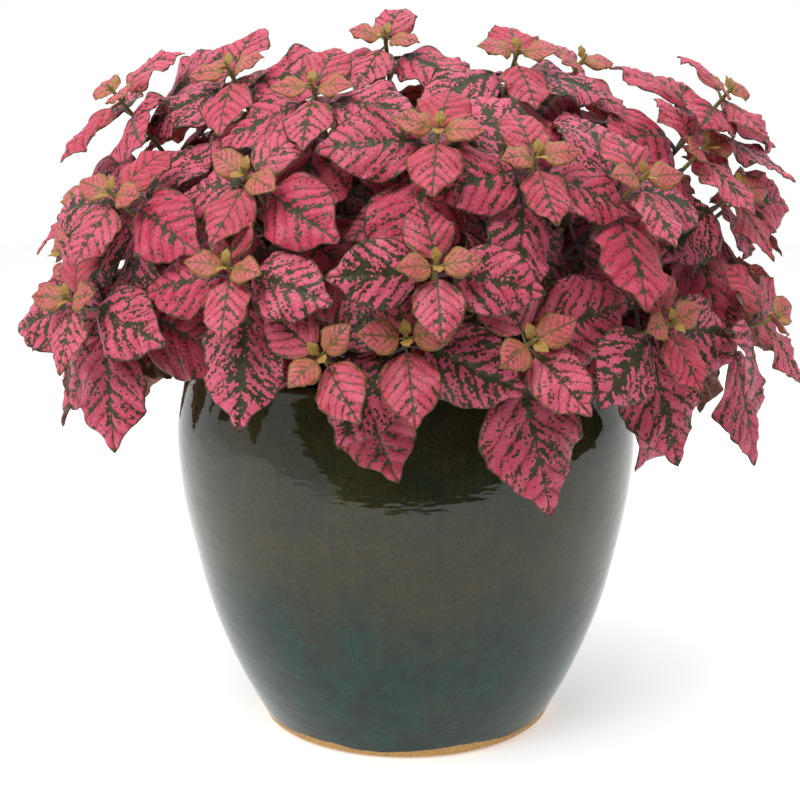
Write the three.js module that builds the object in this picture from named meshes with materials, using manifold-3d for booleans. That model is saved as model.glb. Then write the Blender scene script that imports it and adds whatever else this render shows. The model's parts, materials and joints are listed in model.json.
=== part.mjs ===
// A potted polka dot plant: leafy stems fan out of the soil in a glazed stoneware pot.
// Millimetres, +Z up. The origin is the middle of the pot's base, and -Y is the plant's front.
import * as THREE from "three";
import { mergeVertices } from "three/addons/utils/BufferGeometryUtils.js";
import Module from "manifold-3d";

// The pot's outside radius in equal steps of height, from the foot to the rim
const POT_HEIGHT = 222;
const POT_RADII = [88, 107, 121.5, 131, 138, 140, 133];
const RIM_RADIUS = POT_RADII.at(-1);
const POT_SIDES = 32;
const POT_ROWS = 7;
const INNER_ROWS = 2;
const WALL = 9;
const FLOOR = 12;
const FOOT_CHAMFER = 2;

// The rim's lip: its shoulder and edges lie this far under its top, and its edges are rounded off
const LIP_SHOULDER = 6;
const LIP_EDGE = 3;
const LIP_BULGE = 0.8;
const OUTER_ROUND = 1.5;
const INNER_ROUND = 2.5;
const INNER_BULGE = 0.5;

const DRAIN_HOLES = 3;
const DRAIN_RADIUS = 8;
const DRAIN_REACH = 48;
const DRAIN_SIDES = 10;
// How far a cutting body stands out past what it cuts
const OVERCUT = 4;

// The soil stands a little under the rim, 0.3 mm clear of the glaze and of every stem. Its crown
// rises to the middle: share of the radius, then share of the rise.
const CLEARANCE = 0.3;
const SOIL_TOP = 198;
const SOIL_CROWN = 5;
const CROWN_STEPS = [[0.7, 0.5], [0.35, 0.9], [0, 1]];
const HOLE_DEPTH = 24;

// A stem is square in section and thins from its root to its growing tip. It comes out of the soil
// as a straight stub, bends once on its way to the leaves and ends in a bud.
const ROOT_RADIUS = 2.4;
const TIP_RADIUS = 1.1;
const STUB = 8;
const BEND_SHARE = 0.45;
const BUD = 4;
// Shares of the span from root to tip in which it first rises upright and last takes its heading,
// and the degrees at which a low tip and a high one rise
const UPRIGHT_SHARE = 0.4;
const HEADING_SHARE = 0.42;
const LOW_TIP = { height: 245, rise: 22 };
const HIGH_TIP = { height: 405, rise: 50 };

// The leaf pairs of a stem, from the growing tip down. Each pair stands crosswise to the next.
// fromTip: distance down the stem; opening: degrees between the stem and the leaf stalk; sag:
// degrees that the blade hangs down from its stalk; stations: where the blade's margin turns.
const PAIRS = [
  { fromTip: 1.6, length: 8, stalk: 0.5, opening: 34, sag: 0, stations: [0.38] },
  { fromTip: 4.8, length: 21, stalk: 2.5, opening: 54, sag: 6, stations: [0.24, 0.6] },
  { fromTip: 9, length: 36, stalk: 5, opening: 66, sag: 14, stations: [0.2, 0.58] },
  { fromTip: 18, length: 52, stalk: 9, opening: 72, sag: 22, stations: [0.14, 0.42, 0.72] },
  { fromTip: 31, length: 65, stalk: 12, opening: 78, sag: 28, stations: [0.14, 0.42, 0.72] },
  { fromTip: 49, length: 70, stalk: 15, opening: 82, sag: 32, stations: [0.2, 0.58] },
];
const NODE_LENGTH = 2.4;
// The pairs up to this one follow each other with no bare stem between
const CROWDED = 2;
const STALK_RADIUS = 1;
// Where a stalk starts, as a share of the stem's radius out from its middle
const STALK_SEAT = 0.7;
const SMALLEST_STALK = 0.05;

// A blade's width and thickness, the latter a share of its length where it is small, and how its
// margin waves: waves along one side, where the first starts, their height, and the margins' droop
const LEAF_SPREAD = 0.76;
const BLADE_THICKNESS = 1.3;
const SMALLEST_BLADE = 0.06;
const WAVES = 1.75;
const WAVE_START = 0.14;
const WAVE_HEIGHT = 0.16;
const DROOP = 0.14;
// Degrees through which a blade arches along its midrib when it hangs and when it rises
const ARCH_HANGING = 8;
const ARCH_RISING = 62;

// Each shoot's growing tip: degrees round the pot from the front (to the right is positive), reach
// from the middle, height, the way it aims, turn of its leaf pairs and size of its leaves, and the
// numbers of leaves that it has lost, counted down from the tip
const FRONT_SHOOTS = [
  { azimuth: -45, reach: 134, height: 391, aim: -28, turn: 100, size: 1.05 },
  { azimuth: -18, reach: 152, height: 379, aim: -14, turn: 90, size: 0.95, pairs: 5 },
  { azimuth: -11, reach: 62, height: 411, aim: -8, turn: 75, size: 0.95, pairs: 5 },
  { azimuth: 32, reach: 112, height: 400, aim: 18, turn: 85, size: 1, pairs: 5 },
  { azimuth: 5, reach: 176, height: 357, aim: 4, turn: 80, size: 1 },
  { azimuth: 20, reach: 186, height: 344, aim: 16, turn: 95, size: 0.95 },
  { azimuth: 73, reach: 190, height: 382, aim: 48, turn: 90, size: 1 },
  { azimuth: 62, reach: 184, height: 350, aim: 40, turn: 95, size: 1.15 },
  { azimuth: -25, reach: 186, height: 336, aim: -22, turn: 70, size: 1 },
  { azimuth: -52, reach: 222, height: 272, aim: -34, turn: 100, size: 0.98 },
  { azimuth: -25, reach: 204, height: 292, aim: -20, turn: 90, size: 0.95 },
  { azimuth: 4, reach: 205, height: 294, aim: 4, turn: 92, size: 0.92, bare: [9, 11] },
  { azimuth: -12, reach: 200, height: 250, aim: -12, turn: 138, size: 0.98, pairs: 5, bare: [7] },
  { azimuth: 18, reach: 198, height: 256, aim: 19, turn: 120, size: 1.15, pairs: 5, bare: [7] },
  { azimuth: 40, reach: 208, height: 262, aim: 30, turn: 105, size: 0.95 },
  { azimuth: -47, reach: 205, height: 326, aim: -32, turn: 80, size: 1 },
  { azimuth: 37, reach: 196, height: 334, aim: 33, turn: 90, size: 1 },
  { azimuth: -72, reach: 174, height: 382, aim: -46, turn: 75, size: 1.2, pairs: 5 },
  { azimuth: -36, reach: 150, height: 318, aim: -36, turn: 20, size: 1 },
  { azimuth: 2, reach: 148, height: 318, aim: 2, turn: 10, size: 1 },
  { azimuth: 0, reach: 190, height: 258, aim: -3, turn: 96, size: 1.1, pairs: 4 },
  { azimuth: 60, reach: 114, height: 398, aim: 48, turn: 90, size: 1.05, pairs: 5 },
  { azimuth: 68, reach: 200, height: 328, aim: 42, turn: 100, size: 1.1 },
  { azimuth: -70, reach: 205, height: 292, aim: -58, turn: 60, size: 1.05 },
];
// The other shoots stand in rings round the sides and the back: count, first and last azimuth, and
// run, the share of the reach that lies between root and tip
const BACK_RINGS = [
  { count: 7, first: 68, last: 272, reach: 218, height: 268, run: 0.54, pairs: 6, lift: 6 },
  { count: 7, first: 88, last: 280, reach: 196, height: 328, run: 0.62, pairs: 6, lift: 12 },
  { count: 5, first: 98, last: 265, reach: 130, height: 372, run: 0.6, pairs: 5, lift: 20 },
  { count: 2, first: 140, last: 215, reach: 62, height: 386, run: 0.58, pairs: 5, lift: 30 },
];
const FRONT_RUN = 0.58;
// The side shoots aim this many degrees at most to the front or the back of the way they stand
const LIGHT_PULL = 14;
// How much the shoots of a ring differ, least to most
const DISORDER = { azimuth: 10, reach: 16, height: 20, turn: 60, size: 0.15 };
const RING_TURN = 90;
const RING_SIZE = 0.95;

// Where stems or leaves would meet, they give way in up to this many steps. At the last one a root
// has moved, and a leaf has turned or shrunk, by at most this much: degrees or shares.
const ATTEMPTS = 48;
const ROOT_TURN = 60;
const ROOT_SLIDE = 0.3;
const STRAY = { around: 40, opening: 36, sag: 24, roll: 30, length: 0.1, arch: 14 };
const FIRST_STRAY = 0.25;
const SHRINK = 0.22;

// The least gaps between leaves and stems, between roots, and from a leaf to the pot and the soil
const LEAF_GAP = 0.8;
const ROOT_SPACING = 9;
const ROOT_REACH = 110;
const POT_GAP = 2.5;
const INNER_GAP = 4;
const SOIL_GAP = 2;

// What each random number is for
const USES = {
  wave: 901,
  azimuth: 902,
  reach: 903,
  height: 904,
  turn: 905,
  size: 906,
  rootTurn: 910,
  rootSlide: 911,
};

const radians = THREE.MathUtils.degToRad;
const lerp = THREE.MathUtils.lerp;
const UP = new THREE.Vector3(0, 0, 1);
const TINY = 1e-6;

// A number from 0 to 1 that depends only on the three whole numbers given, and one from -1 to 1
function draw(stem, leaf, use) {
  let bits = Math.imul(stem + 1, 73856093) ^ Math.imul(leaf + 1, 19349663);
  bits = (bits ^ Math.imul(use + 1, 83492791)) >>> 0;
  bits = Math.imul(bits ^ (bits >>> 15), 2246822519) >>> 0;
  bits = Math.imul(bits ^ (bits >>> 13), 3266489917) >>> 0;
  return ((bits ^ (bits >>> 16)) >>> 0) / 2 ** 32;
}

function swing(stem, leaf, use) {
  return 2 * draw(stem, leaf, use) - 1;
}

function potRadius(height) {
  const place = THREE.MathUtils.clamp(height / POT_HEIGHT, 0, 1);
  const curve = new THREE.CatmullRomCurve3(
    POT_RADII.map((radius, i) => new THREE.Vector3(radius, 0, i)),
  );
  return curve.getPoint(place).x;
}

// Lathe geometry turned from a closed profile of [radius, height] points
function turned(profile) {
  const points = profile.map(([radius, height]) => new THREE.Vector2(radius, height));
  const geometry = new THREE.LatheGeometry(points, POT_SIDES);
  return geometry.rotateX(Math.PI / 2);
}

const wasm = await Module();
wasm.setup();

function solid(geometry) {
  const bare = geometry.clone().deleteAttribute("normal").deleteAttribute("uv");
  const merged = mergeVertices(bare, 1e-4);
  return new wasm.Manifold(
    new wasm.Mesh({
      numProp: 3,
      vertProperties: new Float32Array(merged.attributes.position.array),
      triVerts: new Uint32Array(merged.index.array),
    }),
  );
}

function geometryOf(body) {
  const mesh = body.getMesh();
  const geometry = new THREE.BufferGeometry();
  geometry.setAttribute("position", new THREE.BufferAttribute(mesh.vertProperties, 3));
  geometry.setIndex(new THREE.BufferAttribute(mesh.triVerts, 1));
  return geometry;
}

function prism(radius, height, sides, x, y, bottom, turn = 0) {
  const geometry = new THREE.CylinderGeometry(radius, radius, height, sides);
  geometry.rotateX(Math.PI / 2).rotateZ(turn);
  return geometry.translate(x, y, bottom + height / 2);
}

// The pot's inner wall from its floor to the soil's surface, or the soil's side inside it
function innerProfile(inset) {
  const points = [];
  for (let i = 0; i <= INNER_ROWS; i++) {
    const height = lerp(FLOOR, SOIL_TOP, i / INNER_ROWS);
    points.push([potRadius(height) - WALL - inset, height]);
  }
  return points;
}

function potGeometry() {
  const outside = [[0, 0], [POT_RADII[0] - FOOT_CHAMFER, 0]];
  for (let i = 0; i <= POT_ROWS; i++) {
    const height = lerp(FOOT_CHAMFER, POT_HEIGHT - LIP_SHOULDER, i / POT_ROWS);
    outside.push([potRadius(height), height]);
  }
  const lip = [
    [RIM_RADIUS + LIP_BULGE, POT_HEIGHT - LIP_EDGE],
    [RIM_RADIUS - OUTER_ROUND, POT_HEIGHT],
    [RIM_RADIUS - WALL + INNER_ROUND, POT_HEIGHT],
    [RIM_RADIUS - WALL - INNER_BULGE, POT_HEIGHT - LIP_EDGE],
  ];
  const inside = innerProfile(0).reverse();
  let body = solid(turned([...outside, ...lip, ...inside, [0, FLOOR]]));
  for (let i = 0; i < DRAIN_HOLES; i++) {
    const angle = (2 * Math.PI * (i + 0.5)) / DRAIN_HOLES;
    const x = DRAIN_REACH * Math.cos(angle);
    const y = DRAIN_REACH * Math.sin(angle);
    const hole = prism(DRAIN_RADIUS, FLOOR + 2 * OVERCUT, DRAIN_SIDES, x, y, -OVERCUT);
    body = body.subtract(solid(hole));
  }
  return geometryOf(body);
}

// The level direction at an azimuth
function levelWay(azimuth) {
  const angle = radians(azimuth);
  return new THREE.Vector3(Math.sin(angle), -Math.cos(angle), 0);
}

// Where a shoot stands and how its stem runs: straight up out of the soil, then over to its tip.
// At attempt 0 it stands as it is set, and at later ones its root has moved.
function shootAt(place, index, attempt) {
  const { azimuth, reach, height, turn, size } = place;
  const { run = FRONT_RUN, pairs = PAIRS.length, bare = [], lift = 0 } = place;
  const give = attempt / ATTEMPTS;
  const aim = place.aim + ROOT_TURN * give * swing(index, attempt, USES.rootTurn);
  const slide = ROOT_SLIDE * give * swing(index, attempt, USES.rootSlide);
  const length = run * reach * (1 + slide);
  const tip = levelWay(azimuth).multiplyScalar(reach);
  const outward = levelWay(aim);
  const start = tip.clone().addScaledVector(outward, -length).setZ(SOIL_TOP + STUB);
  tip.setZ(height);
  const above = THREE.MathUtils.inverseLerp(LOW_TIP.height, HIGH_TIP.height, height);
  const share = THREE.MathUtils.clamp(above, 0, 1);
  const rise = radians(lerp(LOW_TIP.rise, HIGH_TIP.rise, share) + lift);
  const heading = outward.clone().multiplyScalar(Math.cos(rise)).setZ(Math.sin(rise));
  const span = start.distanceTo(tip);
  const curve = new THREE.CubicBezierCurve3(
    start,
    start.clone().addScaledVector(UP, UPRIGHT_SHARE * span),
    tip.clone().addScaledVector(heading, -HEADING_SHARE * span),
    tip,
  );
  const side = levelWay(aim + 90);
  return { index, curve, side, turn: radians(turn), size, pairs, bare, leaves: new Map() };
}

// The point, direction and half width of a shoot's stem, at a distance down from its tip
function stemAt(shoot, fromTip) {
  const whole = shoot.curve.getLength();
  const place = THREE.MathUtils.clamp(1 - fromTip / whole, 0, 1);
  const point = shoot.curve.getPointAt(place);
  const along = shoot.curve.getTangentAt(place);
  const across = along.clone().cross(shoot.side);
  return { point, along, across, radius: lerp(ROOT_RADIUS, TIP_RADIUS, place) };
}

function ringOf(shoot, { point, across, radius }) {
  const corners = [];
  for (let i = 0; i < 4; i++) {
    const angle = shoot.turn + radians(45 + 90 * i);
    const corner = point.clone().addScaledVector(shoot.side, radius * Math.cos(angle));
    corners.push(corner.addScaledVector(across, radius * Math.sin(angle)));
  }
  return corners;
}

// How a leaf leaves its stem. Attempt 0 is its natural place, and later ones give way more.
function leafPose(shoot, rank, half, attempt) {
  const pair = PAIRS[rank];
  const leaf = 2 * rank + half;
  const give = attempt / ATTEMPTS;
  const stray = (name) => {
    const use = 16 * attempt + 1 + Object.keys(STRAY).indexOf(name);
    return STRAY[name] * (FIRST_STRAY + give) * swing(shoot.index, leaf, use);
  };
  const { point, along, across, radius } = stemAt(shoot, pair.fromTip * shoot.size);
  const around = shoot.turn + radians(90 * rank + 180 * half + stray("around"));
  const opening = radians(pair.opening + stray("opening"));
  const outward = shoot.side.clone().multiplyScalar(Math.cos(around));
  outward.addScaledVector(across, Math.sin(around));
  const stalkWay = outward.clone().multiplyScalar(Math.sin(opening));
  stalkWay.addScaledVector(along, Math.cos(opening));
  const face = outward.clone().multiplyScalar(-Math.cos(opening));
  face.addScaledVector(along, Math.sin(opening));
  const base = point.clone().addScaledVector(outward, radius * STALK_SEAT);
  base.addScaledVector(stalkWay, pair.stalk * shoot.size);
  const forward = stalkWay.clone();
  const level = Math.hypot(forward.x, forward.y);
  const sag = radians(pair.sag + stray("sag")) * level;
  const axis = new THREE.Vector3(-forward.y, forward.x, 0).divideScalar(level);
  forward.applyAxisAngle(axis, sag);
  face.applyAxisAngle(axis, sag);
  face.applyAxisAngle(forward, radians(stray("roll")));
  const length = pair.length * shoot.size * (1 - SHRINK * give + stray("length"));
  return {
    foot: point,
    base,
    forward,
    face,
    side: forward.clone().cross(face),
    length,
    halfWidth: (length * LEAF_SPREAD) / 2,
    arch: radians(lerp(ARCH_HANGING, ARCH_RISING, (1 + forward.z) / 2) + stray("arch")),
    wave: draw(shoot.index, leaf, USES.wave) < 0.5 ? 1 : -1,
    rank,
  };
}

// Half the leaf's outline, 0 at the stalk and at the drawn-out tip, 1 at its widest
function outline(u) {
  return 3.23 * Math.pow(u, 0.66) * Math.pow(1 - u, 1.12);
}

// A point of the blade: u runs along the midrib from 0 to 1, v across it from -1 to 1
function bladePoint(pose, u, v) {
  const turn = pose.arch * u;
  const run = (pose.length * Math.sin(turn)) / pose.arch;
  const drop = (pose.length * (1 - Math.cos(turn))) / pose.arch;
  const normal = pose.face.clone().multiplyScalar(Math.cos(turn));
  normal.addScaledVector(pose.forward, Math.sin(turn));
  const width = pose.halfWidth * outline(u) * v;
  const ripple = Math.cos(2 * Math.PI * WAVES * (u - WAVE_START)) * pose.wave * Math.sign(v);
  const lift = v * v * pose.halfWidth * outline(u) * (WAVE_HEIGHT * ripple - DROOP);
  const point = pose.base.clone().addScaledVector(pose.forward, run);
  point.addScaledVector(pose.face, -drop).addScaledVector(pose.side, width);
  return { point: point.addScaledVector(normal, lift), normal };
}

// The rings of a leaf, each [top, one margin, underside, other margin], then its tip
function leafRings(pose) {
  const stalkRadius = Math.min(STALK_RADIUS, pose.length * SMALLEST_STALK);
  const { side, face, base } = pose;
  const rings = [];
  if (pose.rank > CROWDED) {
    rings.push([
      base.clone().addScaledVector(face, stalkRadius),
      base.clone().addScaledVector(side, stalkRadius),
      base.clone().addScaledVector(face, -stalkRadius),
      base.clone().addScaledVector(side, -stalkRadius),
    ]);
  }
  const thickness = Math.min(BLADE_THICKNESS, pose.length * SMALLEST_BLADE);
  for (const u of PAIRS[pose.rank].stations) {
    const { point, normal } = bladePoint(pose, u, 0);
    rings.push([
      point.clone().addScaledVector(normal, thickness / 2),
      bladePoint(pose, u, 1).point,
      point.clone().addScaledVector(normal, -thickness / 2),
      bladePoint(pose, u, -1).point,
    ]);
  }
  return { rings, tip: bladePoint(pose, 1, 0).point };
}

// Patches stand for a leaf or stem when gaps are measured: triangles in its middle surface
function leafPatches(pose, shoot) {
  const { rings, tip } = leafRings(pose);
  const middle = rings.map((ring) => ring[0].clone().add(ring[2]).multiplyScalar(0.5));
  const marks = { shoot, young: pose.rank === 0 };
  const corners = [pose.foot, pose.base, pose.base];
  const stalk = { corners, radius: STALK_RADIUS, stalk: true };
  const patches = [{ ...stalk, ...marks }];
  if (pose.rank <= CROWDED) {
    rings.unshift([pose.base, pose.base, pose.base, pose.base]);
    middle.unshift(pose.base);
  }
  for (let i = 0; i < rings.length; i++) {
    const next = rings[i + 1];
    for (const edge of [1, 3]) {
      const faces = next
        ? [[middle[i], rings[i][edge], next[edge]], [middle[i], next[edge], middle[i + 1]]]
        : [[middle[i], rings[i][edge], tip]];
      for (const face of faces) {
        patches.push({ corners: face, radius: BLADE_THICKNESS / 2, ...marks });
      }
    }
  }
  return patches.map(boxed);
}

function boxed(patch) {
  const box = new THREE.Box3().setFromPoints(patch.corners);
  return { ...patch, box: box.expandByScalar(patch.radius + LEAF_GAP) };
}

// The gap between the line from a to b and the line from c to d
function segmentGap(a, b, c, d) {
  const first = b.clone().sub(a);
  const second = d.clone().sub(c);
  const between = a.clone().sub(c);
  const aa = first.lengthSq();
  const bb = second.lengthSq();
  const cross = first.dot(second);
  const from = second.dot(between);
  const toward = first.dot(between);
  const bottom = aa * bb - cross * cross;
  const clamp = (value) => Math.min(1, Math.max(0, value));
  let s = bottom > TINY ? clamp((cross * from - toward * bb) / bottom) : 0;
  let t = bb > TINY ? (cross * s + from) / bb : 0;
  if (t < 0 || t > 1) {
    t = clamp(t);
    s = aa > TINY ? clamp((cross * t - toward) / aa) : 0;
  }
  return between.addScaledVector(first, s).addScaledVector(second, -t).length();
}

// The gap between two patches, 0 where they cross
const flat = new THREE.Triangle();
const nearest = new THREE.Vector3();
const line = new THREE.Ray();

function patchGap(one, other) {
  let gap = Infinity;
  for (let i = 0; i < 3; i++) {
    for (let j = 0; j < 3; j++) {
      const a = one.corners[i];
      const b = one.corners[(i + 1) % 3];
      const c = other.corners[j];
      const d = other.corners[(j + 1) % 3];
      gap = Math.min(gap, segmentGap(a, b, c, d));
    }
  }
  for (const [tested, surface] of [[one, other], [other, one]]) {
    flat.set(...surface.corners);
    if (flat.getArea() < TINY) continue;
    for (let i = 0; i < 3; i++) {
      const start = tested.corners[i];
      const end = tested.corners[(i + 1) % 3];
      gap = Math.min(gap, flat.closestPointToPoint(start, nearest).distanceTo(start));
      line.origin.copy(start);
      line.direction.copy(end).sub(start);
      const long = line.direction.length();
      if (long < TINY) continue;
      line.direction.divideScalar(long);
      const hit = line.intersectTriangle(...surface.corners, false, nearest);
      if (hit && hit.distanceTo(start) <= long) return 0;
    }
  }
  return gap;
}

function collides(patches, obstacles) {
  for (const patch of patches) {
    for (const obstacle of obstacles) {
      if (!patch.box.intersectsBox(obstacle.box)) continue;
      if (patch.young && obstacle.shoot === patch.shoot) continue;
      if (patch.stalk && obstacle.stalk && obstacle.shoot === patch.shoot) continue;
      const room = patch.radius + obstacle.radius + LEAF_GAP;
      if (patchGap(patch, obstacle) < room) return true;
    }
  }
  return false;
}

// True where a patch would enter the pot's wall or the soil
function entersPot(patches) {
  for (const { corners } of patches) {
    const [a, b, c] = corners;
    const samples = [a, b, c];
    for (const [p, q] of [[a, b], [b, c], [c, a]]) samples.push(p.clone().lerp(q, 0.5));
    for (const point of samples) {
      if (point.z > POT_HEIGHT + POT_GAP) continue;
      const reach = Math.hypot(point.x, point.y);
      const outside = reach > potRadius(point.z) + POT_GAP;
      const above = point.z > SOIL_TOP + SOIL_CROWN + SOIL_GAP;
      const inside = above && reach < RIM_RADIUS - WALL - INNER_GAP;
      if (!outside && !inside) return true;
    }
  }
  return false;
}

// Distances down from the tip at which a stem is bent: its root's, one on the way and the leaves'
function stemBends(shoot) {
  const whole = shoot.curve.getLength();
  const nodes = PAIRS.slice(0, shoot.pairs).map((pair) => pair.fromTip * shoot.size);
  const lowest = nodes.at(-1) + NODE_LENGTH;
  return [whole, lerp(lowest, whole, BEND_SHARE), lowest, ...nodes.reverse(), 0];
}

function stemPatches(shoot) {
  const bends = stemBends(shoot).map((fromTip) => stemAt(shoot, fromTip));
  return bends.slice(1).map((high, i) => {
    const low = bends[i];
    const corners = [low.point, high.point, high.point];
    return boxed({ corners, radius: low.radius, shoot, stalk: true });
  });
}

// Places the leaves pair by pair on every shoot, the youngest first, each in the first of its poses
// that is clear of all that stands already. A leaf that finds no room isn't grown.
function growLeaves(shoots) {
  const obstacles = shoots.flatMap(stemPatches);
  for (let rank = 0; rank < PAIRS.length; rank++) {
    for (const shoot of shoots) {
      if (rank >= shoot.pairs) continue;
      for (const half of [0, 1]) {
        if (shoot.bare.includes(2 * rank + half)) continue;
        for (let attempt = 0; attempt < ATTEMPTS; attempt++) {
          const pose = leafPose(shoot, rank, half, attempt);
          const patches = leafPatches(pose, shoot);
          if (entersPot(patches) || collides(patches, obstacles)) continue;
          shoot.leaves.set(2 * rank + half, pose);
          obstacles.push(...patches);
          break;
        }
      }
    }
  }
}

// Every shoot's place: the front ones as they are set, then the rings with a little disorder
function shootPlaces() {
  const places = [...FRONT_SHOOTS];
  for (const ring of BACK_RINGS) {
    for (let i = 0; i < ring.count; i++) {
      const index = places.length;
      const about = (name) => (DISORDER[name] / 2) * swing(index, 0, USES[name]);
      const azimuth = lerp(ring.first, ring.last, i / (ring.count - 1));
      places.push({
        azimuth: azimuth + about("azimuth"),
        aim: azimuth - LIGHT_PULL * Math.sin(radians(2 * azimuth)),
        reach: ring.reach + about("reach"),
        height: ring.height + about("height"),
        turn: RING_TURN + about("turn"),
        size: RING_SIZE + DISORDER.size / 2 + about("size"),
        run: ring.run,
        pairs: ring.pairs,
        lift: ring.lift,
      });
    }
  }
  return places;
}

// Stands the shoots one by one, each in the first way that is clear of the pot and the others
function standShoots(places) {
  const shoots = [];
  const obstacles = [];
  places.forEach((place, index) => {
    for (let attempt = 0; attempt < ATTEMPTS; attempt++) {
      const shoot = shootAt(place, index, attempt);
      const root = shoot.curve.v0;
      const patches = stemPatches(shoot);
      if (root.length() > Math.hypot(ROOT_REACH, root.z)) continue;
      if (shoots.some((other) => other.curve.v0.distanceTo(root) < ROOT_SPACING)) continue;
      if (entersPot(patches) || collides(patches, obstacles)) continue;
      shoots.push(shoot);
      obstacles.push(...patches);
      return;
    }
    throw new Error(`shoot ${index + 1} finds no room`);
  });
  return shoots;
}

const shoots = standShoots(shootPlaces());
growLeaves(shoots);

// One closed surface for a shoot: its square stem, with each leaf drawn out of one of its faces
function shootGeometry(shoot) {
  const points = [];
  const triangles = [];
  const vertex = (point) => points.push(point) - 1;
  const ring = (corners) => corners.map(vertex);
  const quad = (a, b, c, d) => triangles.push([a, b, c], [a, c, d]);
  // Split from the middle of one ring to the margin of the next, alike on both faces
  const band = (low, high) => {
    for (let k = 0; k < 4; k++) {
      const next = (k + 1) % 4;
      if (k % 2 === 0) quad(low[k], low[next], high[next], high[k]);
      else quad(low[next], high[next], high[k], low[k]);
    }
  };
  const drawLeaf = (pose, opening) => {
    const { rings, tip } = leafRings(pose);
    let last = opening;
    for (const corners of rings) {
      const next = ring(corners);
      band(last, next);
      last = next;
    }
    const end = vertex(tip);
    for (let k = 0; k < 4; k++) triangles.push([last[k], last[(k + 1) % 4], end]);
  };

  const climb = (fromTip) => ring(ringOf(shoot, stemAt(shoot, fromTip)));
  const [whole, bend] = stemBends(shoot);
  const root = stemAt(shoot, whole);
  const bottom = { ...root, point: root.point.clone().setZ(SOIL_TOP - HOLE_DEPTH + CLEARANCE) };
  let last = ring(ringOf(shoot, bottom));
  quad(last[3], last[2], last[1], last[0]);
  for (const fromTip of [whole, bend]) {
    const next = climb(fromTip);
    band(last, next);
    last = next;
  }
  for (let rank = shoot.pairs - 1; rank >= 0; rank--) {
    const middle = PAIRS[rank].fromTip * shoot.size;
    let low = last;
    if (rank >= CROWDED) {
      low = climb(middle + NODE_LENGTH / 2);
      band(last, low);
    }
    const above = rank > 0 ? PAIRS[rank - 1].fromTip * shoot.size : 0;
    const high = climb(rank > CROWDED ? middle - NODE_LENGTH / 2 : (middle + above) / 2);
    // Face k looks to the side at turn + 90 * k degrees, and every second face has a leaf's place
    for (let k = 0; k < 4; k++) {
      const from = (k + 3) % 4;
      const quarter = (k - rank + 8) % 4;
      const pose = quarter % 2 === 0 && shoot.leaves.get(2 * rank + quarter / 2);
      if (pose) drawLeaf(pose, [high[from], low[from], low[k], high[k]]);
      else quad(low[from], low[k], high[k], high[from]);
    }
    last = high;
  }
  const end = stemAt(shoot, 0);
  const bud = vertex(end.point.clone().addScaledVector(end.along, BUD));
  for (let k = 0; k < 4; k++) triangles.push([last[k], last[(k + 1) % 4], bud]);

  const geometry = new THREE.BufferGeometry().setFromPoints(points);
  return geometry.setIndex(triangles.flat());
}

function soilGeometry() {
  const wall = innerProfile(CLEARANCE);
  wall[0][1] += CLEARANCE;
  const [edge] = wall.at(-1);
  const crown = CROWN_STEPS.map(([out, up]) => [edge * out, SOIL_TOP + SOIL_CROWN * up]);
  let body = solid(turned([[0, FLOOR + CLEARANCE], ...wall, ...crown]));
  const depth = HOLE_DEPTH + SOIL_CROWN + OVERCUT;
  for (const shoot of shoots) {
    const { point, radius } = stemAt(shoot, shoot.curve.getLength());
    const width = radius + CLEARANCE * Math.SQRT2;
    const turn = Math.atan2(shoot.side.y, shoot.side.x) + shoot.turn + Math.PI / 4;
    const hole = prism(width, depth, 4, point.x, point.y, SOIL_TOP - HOLE_DEPTH, turn);
    body = body.subtract(solid(hole));
  }
  return geometryOf(body);
}

const finishes = {
  glaze: { color: 0x3a3c28, roughness: 0.08, metalness: 0 },
  soil: { color: 0x2b1f17, roughness: 0.95, metalness: 0 },
  foliage: { color: 0xd8506e, roughness: 0.5, metalness: 0, side: THREE.DoubleSide },
};

const plant = new THREE.Group();

function addPiece(name, geometry, finish) {
  geometry.computeVertexNormals();
  const mesh = new THREE.Mesh(geometry, new THREE.MeshStandardMaterial(finishes[finish]));
  mesh.name = name;
  plant.add(mesh);
}

addPiece("pot", potGeometry(), "glaze");
addPiece("soil", soilGeometry(), "soil");
shoots.forEach((shoot, i) => {
  const number = String(i + 1).padStart(2, "0");
  addPiece(`leafy_stem_${number}`, shootGeometry(shoot), "foliage");
});

export default plant;
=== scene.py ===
# %% [markdown]
# # A potted polka dot plant
#
# The object is a bushy foliage plant in a glazed stoneware pot. Its solids come from CAD, in metres
# with +Z up, and this file grows finer pieces in their places: thin quilted leaves, round stems,
# crumbly soil and a pot with a real glaze. The first cell loads the solids and keeps their box, so
# that the finished plant can be measured against it at the end.

# %% Load the solids
import json
import math
from functools import partial

import bmesh
import bpy
from mathutils import Matrix, Vector, noise
from mathutils.bvhtree import BVHTree
from mathutils.kdtree import KDTree

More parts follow.
